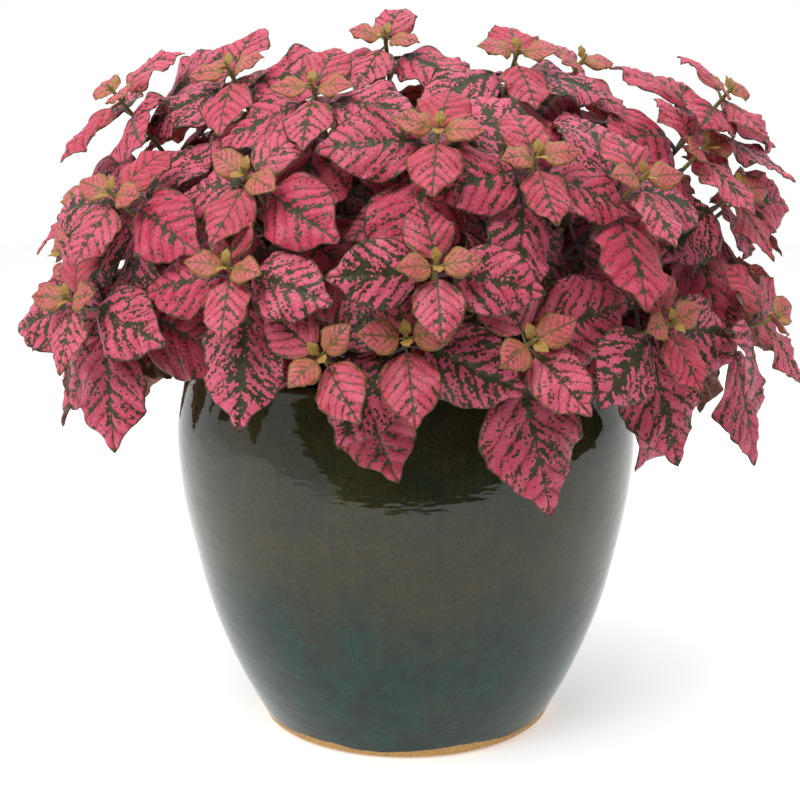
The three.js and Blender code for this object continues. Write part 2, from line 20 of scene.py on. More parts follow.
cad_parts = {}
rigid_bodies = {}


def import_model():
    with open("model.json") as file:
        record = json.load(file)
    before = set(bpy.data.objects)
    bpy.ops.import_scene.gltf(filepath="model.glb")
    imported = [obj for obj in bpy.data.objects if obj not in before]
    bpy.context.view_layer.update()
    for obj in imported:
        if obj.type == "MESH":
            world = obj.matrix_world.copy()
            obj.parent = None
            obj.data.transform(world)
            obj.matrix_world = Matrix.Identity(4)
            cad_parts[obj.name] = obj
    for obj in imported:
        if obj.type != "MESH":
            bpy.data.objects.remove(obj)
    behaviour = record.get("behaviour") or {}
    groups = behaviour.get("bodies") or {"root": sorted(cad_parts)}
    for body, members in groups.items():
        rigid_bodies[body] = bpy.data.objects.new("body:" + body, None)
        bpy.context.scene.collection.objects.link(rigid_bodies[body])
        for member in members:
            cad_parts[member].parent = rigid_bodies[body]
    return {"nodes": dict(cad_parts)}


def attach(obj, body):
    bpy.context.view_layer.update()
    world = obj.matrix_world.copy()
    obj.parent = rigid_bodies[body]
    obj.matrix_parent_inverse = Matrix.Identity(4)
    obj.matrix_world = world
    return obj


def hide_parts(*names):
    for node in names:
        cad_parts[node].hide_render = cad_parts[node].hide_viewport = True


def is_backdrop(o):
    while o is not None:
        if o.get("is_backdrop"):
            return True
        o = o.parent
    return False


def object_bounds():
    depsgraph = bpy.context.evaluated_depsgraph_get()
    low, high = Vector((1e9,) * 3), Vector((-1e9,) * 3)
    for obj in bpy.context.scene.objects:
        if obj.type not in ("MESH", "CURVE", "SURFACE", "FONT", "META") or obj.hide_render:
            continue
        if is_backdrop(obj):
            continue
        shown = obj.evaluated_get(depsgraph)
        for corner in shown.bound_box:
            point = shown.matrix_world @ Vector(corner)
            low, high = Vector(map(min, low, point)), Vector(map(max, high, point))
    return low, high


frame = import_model()
cad_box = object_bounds()
scene = bpy.context.scene
MM = 0.001
print(len(frame["nodes"]), "solids in a box", [round(side, 3) for side in cad_box[1] - cad_box[0]])

# %% [markdown]
# Two helpers serve the whole file. Colours are written as sRGB hex values, as a painter would read
# them off a screen, and Blender's shaders need them linear. The second helper adds one node to a
# tree, with its settings and what goes into its sockets: a number, or a link from another node.


# %% Helpers for colours and nodes
def linear(text):
    channels = [int(text[i : i + 2], 16) / 255 for i in (1, 3, 5)]
    curve = [c / 12.92 if c <= 0.04045 else ((c + 0.055) / 1.055) ** 2.4 for c in channels]
    return (*curve, 1.0)


def add(tree, kind, inputs=None, **settings):
    """A new node. An input is named, or counted where names repeat. It takes a value, a colour's
    hex text or a link."""
    made = tree.nodes.new(kind)
    for name, value in settings.items():
        setattr(made, name, value)
    used = [socket for socket in made.inputs if socket.enabled]
    for name, value in (inputs or {}).items():
        found = used[name] if isinstance(name, int) else next(s for s in used if s.name == name)
        if isinstance(value, bpy.types.Node):
            value = next(socket for socket in value.outputs if socket.enabled)
        if isinstance(value, bpy.types.NodeSocket):
            tree.links.new(value, found)
        else:
            found.default_value = linear(value) if isinstance(value, str) and value[0] == "#" else value
    return made


MATH = "ShaderNodeMath"
VECTOR = "ShaderNodeVectorMath"
NOISE = "ShaderNodeTexNoise"
CELLS = "ShaderNodeTexVoronoi"
SPAN = "ShaderNodeMapRange"
BLEND = "ShaderNodeMix"
ENDS = ("From Min", "From Max", "To Min", "To Max")
print("leaf pink", [round(channel, 3) for channel in linear("#dc6280")[:3]])

# %% [markdown]
# The photograph was taken with a mid-length lens from a little over the rim, looking slightly down
# on the plant. The camera stands where the pot's width and the curve of its rim and foot agree with
# the picture, 800 pixels square.

# %% Camera
IMAGE = 800
FOCAL_PIXELS = 1366
SENSOR = 36
AXIS_PIXEL = 406.13
PITCH = math.radians(9.24)
EYE = (0, -0.8354, 0.3323)

camera_data = bpy.data.cameras.new("camera")
camera_data.sensor_width = SENSOR
camera_data.lens = FOCAL_PIXELS / IMAGE * SENSOR
camera_data.shift_x = (IMAGE / 2 - AXIS_PIXEL) / IMAGE
camera = bpy.data.objects.new("camera", camera_data)
camera.location = EYE
camera.rotation_euler = (math.pi / 2 - PITCH, 0, 0)
scene.collection.objects.link(camera)
scene.camera = camera
print("lens", round(camera_data.lens, 1), "mm")

# %% [markdown]
# A catalogue picture like this one is taken on a white table between white walls, under a soft lamp
# over the camera's left shoulder. The side that the camera stands on is a dark room. The glaze
# mirrors it as a dark patch under the leaves, and mirrors the walls as white edges.

# %% Light and floor
FLOOR_REACH = 6
TABLE_EDGE = -0.495
LAMP_AIM = Vector((0, 0, 0.25))
ROOM_WAY = (0.09, -0.996, 0)
ROOM_SPREAD = 1.7


def studio():
    """A world of white walls with a dark room in front. The camera itself sees only white."""
    world = bpy.data.worlds.new("studio")
    world.use_nodes = True
    put = partial(add, world.node_tree)
    way = put("ShaderNodeTexCoord").outputs["Generated"]
    height = put("ShaderNodeSeparateXYZ", {0: way}).outputs["Z"]
    level = put(VECTOR, {0: way, 1: (1, 1, 0)}, operation="MULTIPLY")
    level = put(VECTOR, {0: level}, operation="NORMALIZE")
    ahead = put(VECTOR, {0: level, 1: ROOM_WAY}, operation="DOT_PRODUCT").outputs["Value"]
    # The room's opening is narrow at the bottom and wide at the top, and ends under the ceiling,
    # which is dimmer than the walls
    inside = put(MATH, {0: ahead, 1: ROOM_SPREAD, 2: height}, operation="MULTIPLY_ADD")
    front = put(SPAN, {"Value": inside, "From Min": 1, "From Max": 1.03})
    low = put(SPAN, {"Value": height, "From Min": 0.65, "From Max": 0.45})
    dark = put(MATH, {0: front, 1: low}, operation="MULTIPLY")
    wall = {"Value": height, "From Min": 0.72, "From Max": 0.82, "To Min": 0.95, "To Max": 0.55}
    light = put(SPAN, {"Value": dark, "To Min": put(SPAN, wall), "To Max": 0.06})
    seen = put("ShaderNodeLightPath").outputs["Is Camera Ray"]
    light = put(MATH, {0: light, 1: seen}, operation="MAXIMUM")
    glow = world.node_tree.nodes["Background"].inputs
    glow["Color"].default_value = linear("#ffffff")
    world.node_tree.links.new(light.outputs[0], glow["Strength"])
    return world


scene.view_settings.view_transform = "Standard"
scene.world = studio()


def lamp(name, place, size, power):
    data = bpy.data.lights.new(name, "AREA")
    data.size = size
    data.energy = power
    made = bpy.data.objects.new(name, data)
    made.location = place
    made.rotation_euler = (LAMP_AIM - Vector(place)).to_track_quat("-Z", "Y").to_euler()
    scene.collection.objects.link(made)


lamp("key_light", (-0.7, -1.3, 1.7), 1.2, 32)
lamp("top_light", (0.4, 0.3, 2.0), 1.4, 10)

floor_mesh = bpy.data.meshes.new("floor")
corners = [(x, y, 0) for y in (TABLE_EDGE, FLOOR_REACH) for x in (-FLOOR_REACH, FLOOR_REACH)]
floor_mesh.from_pydata(corners, [], [(0, 1, 3, 2)])
floor = bpy.data.objects.new("floor", floor_mesh)
scene.collection.objects.link(floor)
floor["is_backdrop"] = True
# Matt white paper. It glows a little, so that it is as white as the world behind it
paper = bpy.data.materials.new("white_studio_paper")
paper.use_nodes = True
sheet = paper.node_tree.nodes["Principled BSDF"].inputs
sheet["Base Color"].default_value = linear("#f0f0f0")
sheet["Roughness"].default_value = 0.9
sheet["Emission Color"].default_value = linear("#ffffff")
sheet["Emission Strength"].default_value = 0.36
floor_mesh.materials.append(paper)
print("lamps", [light.name for light in bpy.data.lights])

# %% [markdown]
# ## Glazed stoneware
#
# The pot is thrown stoneware with a glossy glaze. Iron makes it olive brown where it is thick, and
# towards the foot it breaks into a mottled teal green. Tiny specks and faint streaks lie under the
# gloss. The glaze was wiped off the foot, so a band of bare buff clay shows under an uneven line,
# and at the rim it runs thin and breaks to brown. All of this goes by height, so the material reads
# Object coordinates.

# %% Pot finish
POT_HEIGHT = 222
GLAZE_LINE = 7
GLAZE_WAVER = 3


def finish(name):
    """A new material, the way to add nodes to it, its shader and its Object coordinates."""
    material = bpy.data.materials.new(name)
    material.use_nodes = True
    tree = material.node_tree
    place = add(tree, "ShaderNodeTexCoord").outputs["Object"]
    return material, partial(add, tree), tree.nodes["Principled BSDF"], place


def wear(material, shader, colour, bump, values):
    """Links a colour and a bump to a shader, and sets the values that are the same all over."""
    material.node_tree.links.new(colour.outputs[2], shader.inputs["Base Color"])
    material.node_tree.links.new(bump.outputs[0], shader.inputs["Normal"])
    for name, value in values.items():
        shader.inputs[name].default_value = value


def pot_finish():
    material, put, shader, place = finish("glazed_stoneware")
    level = put("ShaderNodeSeparateXYZ", {"Vector": place}).outputs["Z"]
    height = put(MATH, {0: level, 1: 1 / MM}, operation="MULTIPLY")

    # Clouds of 40 mm in the glaze, mottles of 11 mm, faint runs and specks of 1.7 mm
    clouds = put(NOISE, {"Vector": place, "Scale": 25, "Detail": 5})
    tall = put("ShaderNodeMapping", {"Vector": place, "Scale": (1, 1, 0.12)})
    streaks = put(NOISE, {"Vector": tall, "Scale": 180, "Detail": 3})
    mottle = put(NOISE, {"Vector": place, "Scale": 90, "Detail": 6, "Roughness": 0.65})
    specks = put(NOISE, {"Vector": place, "Scale": 600, "Detail": 2})
    rise = put(SPAN, {"Value": height, "From Min": 60, "From Max": 125})
    shift = {"Value": clouds, "From Min": 0.3, "From Max": 0.7, "To Min": -0.45, "To Max": 0.45}
    share = put(MATH, {0: rise, 1: put(SPAN, shift)}, operation="ADD", use_clamp=True)
    spots = put(SPAN, {"Value": mottle, "From Min": 0.36, "From Max": 0.64})
    teal = put(BLEND, {"Factor": spots, "A": "#06211b", "B": "#0c3a33"}, data_type="RGBA")
    olive = put(BLEND, {"Factor": spots, "A": "#2f311e", "B": "#3b381e"}, data_type="RGBA")
    glaze = put(BLEND, {"Factor": share, "A": teal, "B": olive}, data_type="RGBA")
    run = put(SPAN, {"Value": rise, "To Min": 0.05, "To Max": 0.25})
    edge = (POT_HEIGHT - 3.5, POT_HEIGHT - 0.5, 0, 0.75)
    layers = [(streaks, (0.45, 0.8, 0, run), "#4a4527"), (specks, (0.45, 0.7, 0, 0.5), "#12130c")]
    for value, ends, tone in [*layers, (height, edge, "#5a4629")]:
        share = put(SPAN, {"Value": value} | dict(zip(ENDS, ends)))
        glaze = put(BLEND, {"Factor": share, "A": glaze, "B": tone}, data_type="RGBA")

    # The bare clay foot, under a line that wavers
    waver = put(NOISE, {"Vector": place, "Scale": 14, "Detail": 3})
    ends = (0.3, 0.7, GLAZE_LINE - GLAZE_WAVER, GLAZE_LINE + GLAZE_WAVER)
    waver = put(SPAN, {"Value": waver} | dict(zip(ENDS, ends)))
    over = put(MATH, {0: height, 1: waver}, operation="SUBTRACT")
    glazed = put(SPAN, {"Value": over, "From Min": -0.3, "From Max": 0.3})
    grain = put(SPAN, {"Value": specks, "From Min": 0.3, "From Max": 0.7})
    clay = put(BLEND, {"Factor": grain, "A": "#a67b45", "B": "#cfa568"}, data_type="RGBA")
    colour = put(BLEND, {"Factor": glazed, "A": clay, "B": glaze}, data_type="RGBA")
    rough = put(SPAN, {"Value": glazed, "To Min": 0.85, "To Max": 0.07})
    # Fingers leave low rings on a thrown pot, so what it mirrors has a ragged edge
    flat = put("ShaderNodeMapping", {"Vector": place, "Scale": (1, 1, 2.8)})
    rings = put(NOISE, {"Vector": flat, "Scale": 55, "Detail": 2})
    bump = put("ShaderNodeBump", {"Height": rings, "Strength": 0.25, "Distance": 1.2 * MM})
    wear(material, shader, colour, bump, {"IOR": 1.46})
    material.node_tree.links.new(rough.outputs[0], shader.inputs["Roughness"])
    return material


glazed_stoneware = pot_finish()
print(glazed_stoneware.name, len(glazed_stoneware.node_tree.nodes), "nodes")

# %% [markdown]
# ## The pot's shape
#
# A pot is thrown on a wheel, so one profile turned round the axis gives its shape. The profile
# repeats the CAD solid's radii in equal steps of height, with a smooth curve through them, a foot
# ring that is rounded off, and a lip that is as round as a finger leaves it. Three drain holes are
# cut through the base.

# %% Turn the pot
POT_RADII = [88, 107, 121.5, 131, 138, 140, 133]
RIM_RADIUS = POT_RADII[-1]
WALL = 9
FLOOR = 12
SOIL_TOP = 198
SOIL_CROWN = 5
POT_SIDES = 128
FOOT_EDGE = [(-4, 0), (-1.2, 0.8)]
LIP = 4
INNER_LIP = 3
LIP_PROUD = 0.5
DRAIN_HOLES = 3
DRAIN_RADIUS = 8
DRAIN_REACH = 48
SHARP = math.radians(40)


def lerp(low, high, share):
    return low + (high - low) * share


def clamp(value):
    return min(1, max(0, value))


def pot_radius(height):
    """A smooth curve through the radii, as in the solid."""
    steps = len(POT_RADII) - 1
    place = clamp(height / POT_HEIGHT) * steps
    k = min(int(place), steps - 1)
    ends = [2 * POT_RADII[0] - POT_RADII[1], *POT_RADII, 2 * POT_RADII[-1] - POT_RADII[-2]]
    before, low, high, after = ends[k : k + 4]
    t = place - k
    slope, next_slope = (high - before) / 2, (after - low) / 2
    curve = (2 * low - 2 * high + slope + next_slope) * t**3
    return curve + (3 * high - 3 * low - 2 * slope - next_slope) * t**2 + slope * t + low


def arc(centre, radius, first, last, steps):
    points = []
    for i in range(steps + 1):
        angle = math.radians(lerp(first, last, i / steps))
        points.append((centre[0] + radius * math.cos(angle), centre[1] + radius * math.sin(angle)))
    return points


def turned(name, profile, sides):
    """A closed body turned from a profile of (radius, height) that starts and ends on the axis."""
    shape = bmesh.new()
    rings = []
    for radius, height in profile:
        count = 1 if radius == 0 else sides
        ring = []
        for i in range(count):
            angle = 2 * math.pi * i / sides
            place = (radius * MM * math.cos(angle), radius * MM * math.sin(angle), height * MM)
            ring.append(shape.verts.new(place))
        rings.append(ring)
    for low, high in zip(rings, rings[1:]):
        for i in range(sides):
            corners = [low[i % len(low)], low[(i + 1) % len(low)]]
            corners += [high[(i + 1) % len(high)], high[i % len(high)]]
            shape.faces.new(list(dict.fromkeys(corners)))
    bmesh.ops.recalc_face_normals(shape, faces=shape.faces)
    mesh = bpy.data.meshes.new(name)
    shape.to_mesh(mesh)
    shape.free()
    made = bpy.data.objects.new(name, mesh)
    scene.collection.objects.link(made)
    return made


outside = [(0, 0), *((POT_RADII[0] + out, height) for out, height in FOOT_EDGE)]
outside += [(pot_radius(height), height) for height in range(3, POT_HEIGHT - 7, 3)]
lip = arc((RIM_RADIUS - LIP + LIP_PROUD, POT_HEIGHT - LIP), LIP, -10, 90, 6)
inner = RIM_RADIUS - WALL + INNER_LIP - LIP_PROUD
lip += arc((inner, POT_HEIGHT - INNER_LIP), INNER_LIP, 90, 180, 5)
inside = [(pot_radius(height) - WALL, height) for height in range(SOIL_TOP + 12, FLOOR + 3, -12)]
inside += [(pot_radius(FLOOR) - WALL - 3, FLOOR), (0, FLOOR)]
pot = turned("stoneware_pot", outside + lip + inside, POT_SIDES)

cutters = bmesh.new()
for i in range(DRAIN_HOLES):
    angle = 2 * math.pi * (i + 0.5) / DRAIN_HOLES
    reach = DRAIN_REACH * MM
    place = Matrix.Translation((reach * math.cos(angle), reach * math.sin(angle), FLOOR / 2 * MM))
    sizes = {name: DRAIN_RADIUS * MM for name in ("radius1", "radius2")}
    sizes["depth"] = 2 * FLOOR * MM
    bmesh.ops.create_cone(cutters, cap_ends=True, segments=32, matrix=place, **sizes)
cutter_mesh = bpy.data.meshes.new("drain_holes")
cutters.to_mesh(cutter_mesh)
cutters.free()
cutter = bpy.data.objects.new("drain_holes", cutter_mesh)
scene.collection.objects.link(cutter)
cut = pot.modifiers.new("drain", "BOOLEAN")
cut.object = cutter
cut.solver = "EXACT"


def settle(made):
    """Turns an object's modifiers into its plain mesh."""
    graph = bpy.context.evaluated_depsgraph_get()
    mesh = bpy.data.meshes.new_from_object(made.evaluated_get(graph))
    made.modifiers.clear()
    made.data = mesh


settle(pot)
bpy.data.objects.remove(cutter)
pot.data.shade_smooth()
pot.data.set_sharp_from_angle(angle=SHARP)
pot.data.materials.clear()
pot.data.materials.append(glazed_stoneware)
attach(pot, "root")
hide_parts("pot")
print("pot faces", len(pot.data.polygons), "rim radius", round(pot_radius(POT_HEIGHT), 1), "mm")

# %% [markdown]
# ## Potting soil
#
# Potting soil is dark, moist peat and bark in crumbs of 2 to 6 mm. The body is a turned block with a
# lumpy top. Its crumbs repeat by the thousand, so Geometry Nodes scatters one small lump over the
# top with random turns and sizes, from a fixed seed.


# %% Soil finish
def soil_finish():
    material, put, shader, place = finish("moist_potting_soil")
    lumps = put(NOISE, {"Vector": place, "Scale": 160, "Detail": 4})
    share = put(SPAN, {"Value": lumps, "From Min": 0.35, "From Max": 0.7})
    tone = put(BLEND, {"Factor": share, "A": "#17100b", "B": "#3d2a1c"}, data_type="RGBA")
    grit = put(CELLS, {"Vector": place, "Scale": 450}).outputs["Color"]
    fleck = put(SPAN, {"Value": grit, "From Min": 0.85, "From Max": 0.9})
    tone = put(BLEND, {"Factor": fleck, "A": tone, "B": "#6b5238"}, data_type="RGBA")
    bump = put("ShaderNodeBump", {"Height": lumps, "Strength": 0.7, "Distance": 1.5 * MM})
    wear(material, shader, tone, bump, {"Roughness": 0.95})
    return material


moist_soil = soil_finish()

# %% [markdown]
# The scatter tree takes the soil's body, and keeps it. Points fall on the faces that look up, each
# gets a copy of the crumb, and Realize Instances turns the copies into real mesh, because the
# export keeps no instances.


# %% Scatter the crumbs
def new_tree(name, kinds):
    """A tree with named inputs of these kinds, the inputs' identifiers, and the way to add nodes."""
    tree = bpy.data.node_groups.new(name, "GeometryNodeTree")
    tree.interface.new_socket("Geometry", in_out="OUTPUT", socket_type="NodeSocketGeometry")
    names = {}
    for label, kind in ({"Geometry": "Geometry"} | kinds).items():
        made = tree.interface.new_socket(label, in_out="INPUT", socket_type=f"NodeSocket{kind}")
        names[label] = made.identifier
    return tree, names, partial(add, tree)


def crumb_tree():
    kinds = {"Crumb size": "Float", "Crumbs per square metre": "Float", "Seed": "Int"}
    tree, names, put = new_tree("soil_crumbs", kinds | {"Finish": "Material"})
    start = put("NodeGroupInput").outputs
    upward = put("ShaderNodeSeparateXYZ", {0: put("GeometryNodeInputNormal")}).outputs["Z"]
    top = put("FunctionNodeCompare", {0: upward, 1: 0.6}, operation="GREATER_THAN")
    sown = {"Mesh": start["Geometry"], "Selection": top, "Seed": start["Seed"]}
    sown["Density"] = start["Crumbs per square metre"]
    points = put("GeometryNodeDistributePointsOnFaces", sown)
    crumb = put("GeometryNodeMeshIcoSphere", {"Radius": start["Crumb size"], "Subdivisions": 1})
    lumpy = put(NOISE, {"Scale": 420, "Detail": 0}).outputs["Color"]
    lumpy = put(VECTOR, {0: lumpy, 1: (0.5, 0.5, 0.5)}, operation="SUBTRACT")
    lumpy = put(VECTOR, {0: lumpy, "Scale": 0.004}, operation="SCALE")
    crumb = put("GeometryNodeSetPosition", {"Geometry": crumb, "Offset": lumpy})
    size = {"Min": (0.3, 0.3, 0.25), "Max": (1.1, 1.0, 0.8), "Seed": start["Seed"]}
    size = put("FunctionNodeRandomValue", size, data_type="FLOAT_VECTOR")
    turn = {"Max": (6.28,) * 3, "Seed": start["Seed"]}
    turn = put("FunctionNodeRandomValue", turn, data_type="FLOAT_VECTOR")
    placed = {"Points": points, "Instance": crumb, "Rotation": turn, "Scale": size}
    both = put("GeometryNodeJoinGeometry", {0: put("GeometryNodeInstanceOnPoints", placed)})
    tree.links.new(start["Geometry"], both.inputs[0])
    real = put("GeometryNodeRealizeInstances", {"Geometry": both})
    put("NodeGroupOutput", {0: put("GeometryNodeSetMaterial", {0: real, "Material": start["Finish"]})})
    return tree, names


def grow(made, tree, names, inputs):
    """Gives an object a Geometry Nodes tree with these inputs, and keeps the mesh that it makes."""
    work = made.modifiers.new(tree.name, "NODES")
    work.node_group = tree
    for name, value in inputs.items():
        work[names[name]] = value
    settle(made)


# The soil's surface as shares of its radius and of its crown's height, from the pot's wall inwards
SURFACE = [(0.985, 0.04), (0.95, 0.2), (0.9, 0.35), (0.8, 0.45)]
SURFACE += [(share / 20, 1 - 0.75 * (share / 20) ** 2) for share in range(15, 0, -1)]
SOIL_SIDES = 96
SOIL_GAP = 0.3
LUMP_HEIGHT = 2.2
LUMPS_PER_METRE = 70

soil_edge = pot_radius(SOIL_TOP) - WALL - SOIL_GAP
body = [(0, SOIL_TOP + SOIL_CROWN)]
body += [(soil_edge * out, SOIL_TOP + SOIL_CROWN * up) for out, up in reversed(SURFACE)]
body.append((soil_edge, SOIL_TOP - 1))
for height in range(SOIL_TOP - 4, FLOOR + 5, -12):
    body.append((pot_radius(height) - WALL - SOIL_GAP, height))
body += [(pot_radius(FLOOR) - WALL - 4, FLOOR + SOIL_GAP), (0, FLOOR + SOIL_GAP)]
soil = turned("potting_soil", body, SOIL_SIDES)
for vertex in soil.data.vertices:
    if vertex.co.z > (SOIL_TOP - 2) * MM:
        vertex.co.z += LUMP_HEIGHT * MM * noise.noise(vertex.co * LUMPS_PER_METRE)
soil.data.shade_smooth()
tree, names = crumb_tree()
inputs = {"Crumb size": 0.0032, "Crumbs per square metre": 70000.0, "Seed": 4}
grow(soil, tree, names, inputs | {"Finish": moist_soil})
soil.data.shade_smooth()
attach(soil, "root")
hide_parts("soil")
print("soil faces", len(soil.data.polygons))

# %% [markdown]
# ## Where the leaves are
#
# The plant's plan is the same one that the solids follow. Each shoot has a growing tip, given by its
# angle round the pot, its reach and its height, and a stem that comes up out of the soil and leans
# out to it. Leaves stand in pairs, each pair crosswise to the next, and grow larger down the stem.
# The front shoots are set one by one and the others stand in rings, and every small difference comes
# from numbers that are drawn by a fixed rule, so the plan is the same each time. Scattering them at
# random would be quicker, but the leaves would then miss their solids. Lengths are in millimetres
# and angles in degrees.

# %% The shoots' places
PAIR_WORDS = ("from_tip", "length", "stalk", "opening", "sag")
PAIR_ROWS = [
    (1.6, 8, 0.5, 34, 0),
    (4.8, 21, 2.5, 54, 6),
    (9, 36, 5, 66, 14),
    (18, 52, 9, 72, 22),
    (31, 65, 12, 78, 28),
    (49, 70, 15, 82, 32),
]
PAIRS = [dict(zip(PAIR_WORDS, row)) for row in PAIR_ROWS]
PLACE_WORDS = ("azimuth", "reach", "height", "aim", "turn", "size", "pairs", "run", "lift")
FRONT_RUN = 0.58
FRONT_SHOOTS = [
    (-45, 134, 391, -28, 100, 1.05, 6),
    (-18, 152, 379, -14, 90, 0.95, 5),
    (-11, 62, 411, -8, 75, 0.95, 5),
    (32, 112, 400, 18, 85, 1, 5),
    (5, 176, 357, 4, 80, 1, 6),
    (20, 186, 344, 16, 95, 0.95, 6),
    (73, 190, 382, 48, 90, 1, 6),
    (62, 184, 350, 40, 95, 1.15, 6),
    (-25, 186, 336, -22, 70, 1, 6),
    (-52, 222, 272, -34, 100, 0.98, 6),
    (-25, 204, 292, -20, 90, 0.95, 6),
    (4, 205, 294, 4, 92, 0.92, 6),
    (-12, 200, 250, -12, 138, 0.98, 5),
    (18, 198, 256, 19, 120, 1.15, 5),
    (40, 208, 262, 30, 105, 0.95, 6),
    (-47, 205, 326, -32, 80, 1, 6),
    (37, 196, 334, 33, 90, 1, 6),
    (-72, 174, 382, -46, 75, 1.2, 5),
    (-36, 150, 318, -36, 20, 1, 6),
    (2, 148, 318, 2, 10, 1, 6),
    (0, 190, 258, -3, 96, 1.1, 4),
    (60, 114, 398, 48, 90, 1.05, 5),
    (68, 200, 328, 42, 100, 1.1, 6),
    (-70, 205, 292, -58, 60, 1.05, 6),
]
RING_WORDS = ("count", "first", "last", "reach", "height", "run", "pairs", "lift")
BACK_RINGS = [
    (7, 68, 272, 218, 268, 0.54, 6, 6),
    (7, 88, 280, 196, 328, 0.62, 6, 12),
    (5, 98, 265, 130, 372, 0.6, 5, 20),
    (2, 140, 215, 62, 386, 0.58, 5, 30),
]
LIGHT_PULL = 14
DISORDER = {"azimuth": 10, "reach": 16, "height": 20, "turn": 60, "size": 0.15}
RING_TURN = 90
RING_SIZE = 0.95
USES = {"wave": 901, "azimuth": 902, "reach": 903, "height": 904, "turn": 905, "size": 906}
USES |= {"root_turn": 910, "root_slide": 911}
WORD = 2**32


def draw(stem, leaf, use):
    """A number from 0 to 1 that depends only on the three whole numbers given."""
    bits = (stem + 1) * 73856093 ^ (leaf + 1) * 19349663
    bits = (bits ^ (use + 1) * 83492791) % WORD
    bits = (bits ^ bits >> 15) * 2246822519 % WORD
    bits = (bits ^ bits >> 13) * 3266489917 % WORD
    return (bits ^ bits >> 16) / WORD


def swing(stem, leaf, use):
    return 2 * draw(stem, leaf, use) - 1


places = [dict(zip(PLACE_WORDS, (*row, FRONT_RUN, 0))) for row in FRONT_SHOOTS]
for row in BACK_RINGS:
    ring = dict(zip(RING_WORDS, row))
    for i in range(ring["count"]):
        index = len(places)
        place = {name: DISORDER[name] / 2 * swing(index, 0, USES[name]) for name in DISORDER}
        azimuth = lerp(ring["first"], ring["last"], i / (ring["count"] - 1))
        place["azimuth"] += azimuth
        place["aim"] = azimuth - LIGHT_PULL * math.sin(math.radians(2 * azimuth))
        place["reach"] += ring["reach"]
        place["height"] += ring["height"]
        place["turn"] += RING_TURN
        place["size"] += RING_SIZE + DISORDER["size"] / 2
        places.append(place | {name: ring[name] for name in ("run", "pairs", "lift")})
print(len(places), "shoots")

# %% [markdown]
# Where two leaves would have met, the plan let one of them turn, shrink or move in small steps until
# it was clear. Repeating that search here isn't needed: the solid's own corners tell which step was
# taken, because only that one puts the leaf's tip exactly on a corner of the solid.

# %% Stems and leaves from the plan
ATTEMPTS = 48
ROOT_TURN = 60
ROOT_SLIDE = 0.3
STRAY = {"around": 40, "opening": 36, "sag": 24, "roll": 30, "length": 0.1, "arch": 14}
FIRST_STRAY = 0.25
SHRINK = 0.22
ROOT_RADIUS = 2.4
TIP_RADIUS = 1.1
STUB = 8
HOLE_DEPTH = 24
UPRIGHT_SHARE = 0.4
HEADING_SHARE = 0.42
LOW_TIP = (245, 22)
HIGH_TIP = (405, 50)
CURVE_STEPS = 200
STALK_SEAT = 0.7
LEAF_SPREAD = 0.76
WAVES = 1.75
WAVE_START = 0.14
WAVE_HEIGHT = 0.16
DROOP = 0.14
ARCH_HANGING = 8
ARCH_RISING = 62
UP = Vector((0, 0, 1))


def level_way(azimuth):
    angle = math.radians(azimuth)
    return Vector((math.sin(angle), -math.cos(angle), 0))


class Shoot:
    """A shoot's stem as a curve from its root to its growing tip, and how its leaves turn."""

    def __init__(self, place, index, attempt):
        give = attempt / ATTEMPTS
        aim = place["aim"] + ROOT_TURN * give * swing(index, attempt, USES["root_turn"])
        slide = ROOT_SLIDE * give * swing(index, attempt, USES["root_slide"])
        tip = level_way(place["azimuth"]) * place["reach"]
        outward = level_way(aim)
        start = tip - outward * place["run"] * place["reach"] * (1 + slide)
        start.z = SOIL_TOP + STUB
        tip.z = place["height"]
        share = clamp((tip.z - LOW_TIP[0]) / (HIGH_TIP[0] - LOW_TIP[0]))
        rise = math.radians(lerp(LOW_TIP[1], HIGH_TIP[1], share) + place["lift"])
        heading = outward * math.cos(rise) + UP * math.sin(rise)
        reach = (tip - start).length
        knee = start + UP * UPRIGHT_SHARE * reach
        self.controls = [start, knee, tip - heading * HEADING_SHARE * reach, tip]
        self.side = level_way(aim + 90)
        self.turn = math.radians(place["turn"])
        self.size = place["size"]
        self.pairs = place["pairs"]
        self.index = index
        self.lengths = [0.0]
        last = start
        for i in range(1, CURVE_STEPS + 1):
            point = self.point(i / CURVE_STEPS)
            self.lengths.append(self.lengths[-1] + (point - last).length)
            last = point

    def point(self, t):
        a, b, c, d = self.controls
        s = 1 - t
        return a * s**3 + b * (3 * s * s * t) + c * (3 * s * t * t) + d * t**3

    def slope(self, t):
        a, b, c, d = self.controls
        s = 1 - t
        return ((b - a) * (s * s) + (c - b) * (2 * s * t) + (d - c) * (t * t)).normalized()

    def at(self, from_tip):
        """Point, direction, crosswise direction and radius at a distance down from the tip."""
        whole = self.lengths[-1]
        share = clamp(1 - from_tip / whole)
        target = share * whole
        low, high = 0, CURVE_STEPS
        while high - low > 1:
            middle = (low + high) // 2
            if self.lengths[middle] <= target:
                low = middle
            else:
                high = middle
        between = (target - self.lengths[low]) / (self.lengths[high] - self.lengths[low])
        t = (low + between) / CURVE_STEPS
        along = self.slope(t)
        return self.point(t), along, along.cross(self.side), lerp(ROOT_RADIUS, TIP_RADIUS, share)

    def root_corner(self):
        """A corner of the solid's square stem, at its root."""
        point, _, across, radius = self.at(self.lengths[-1])
        angle = self.turn + math.radians(45)
        return point + self.side * (radius * math.cos(angle)) + across * (radius * math.sin(angle))


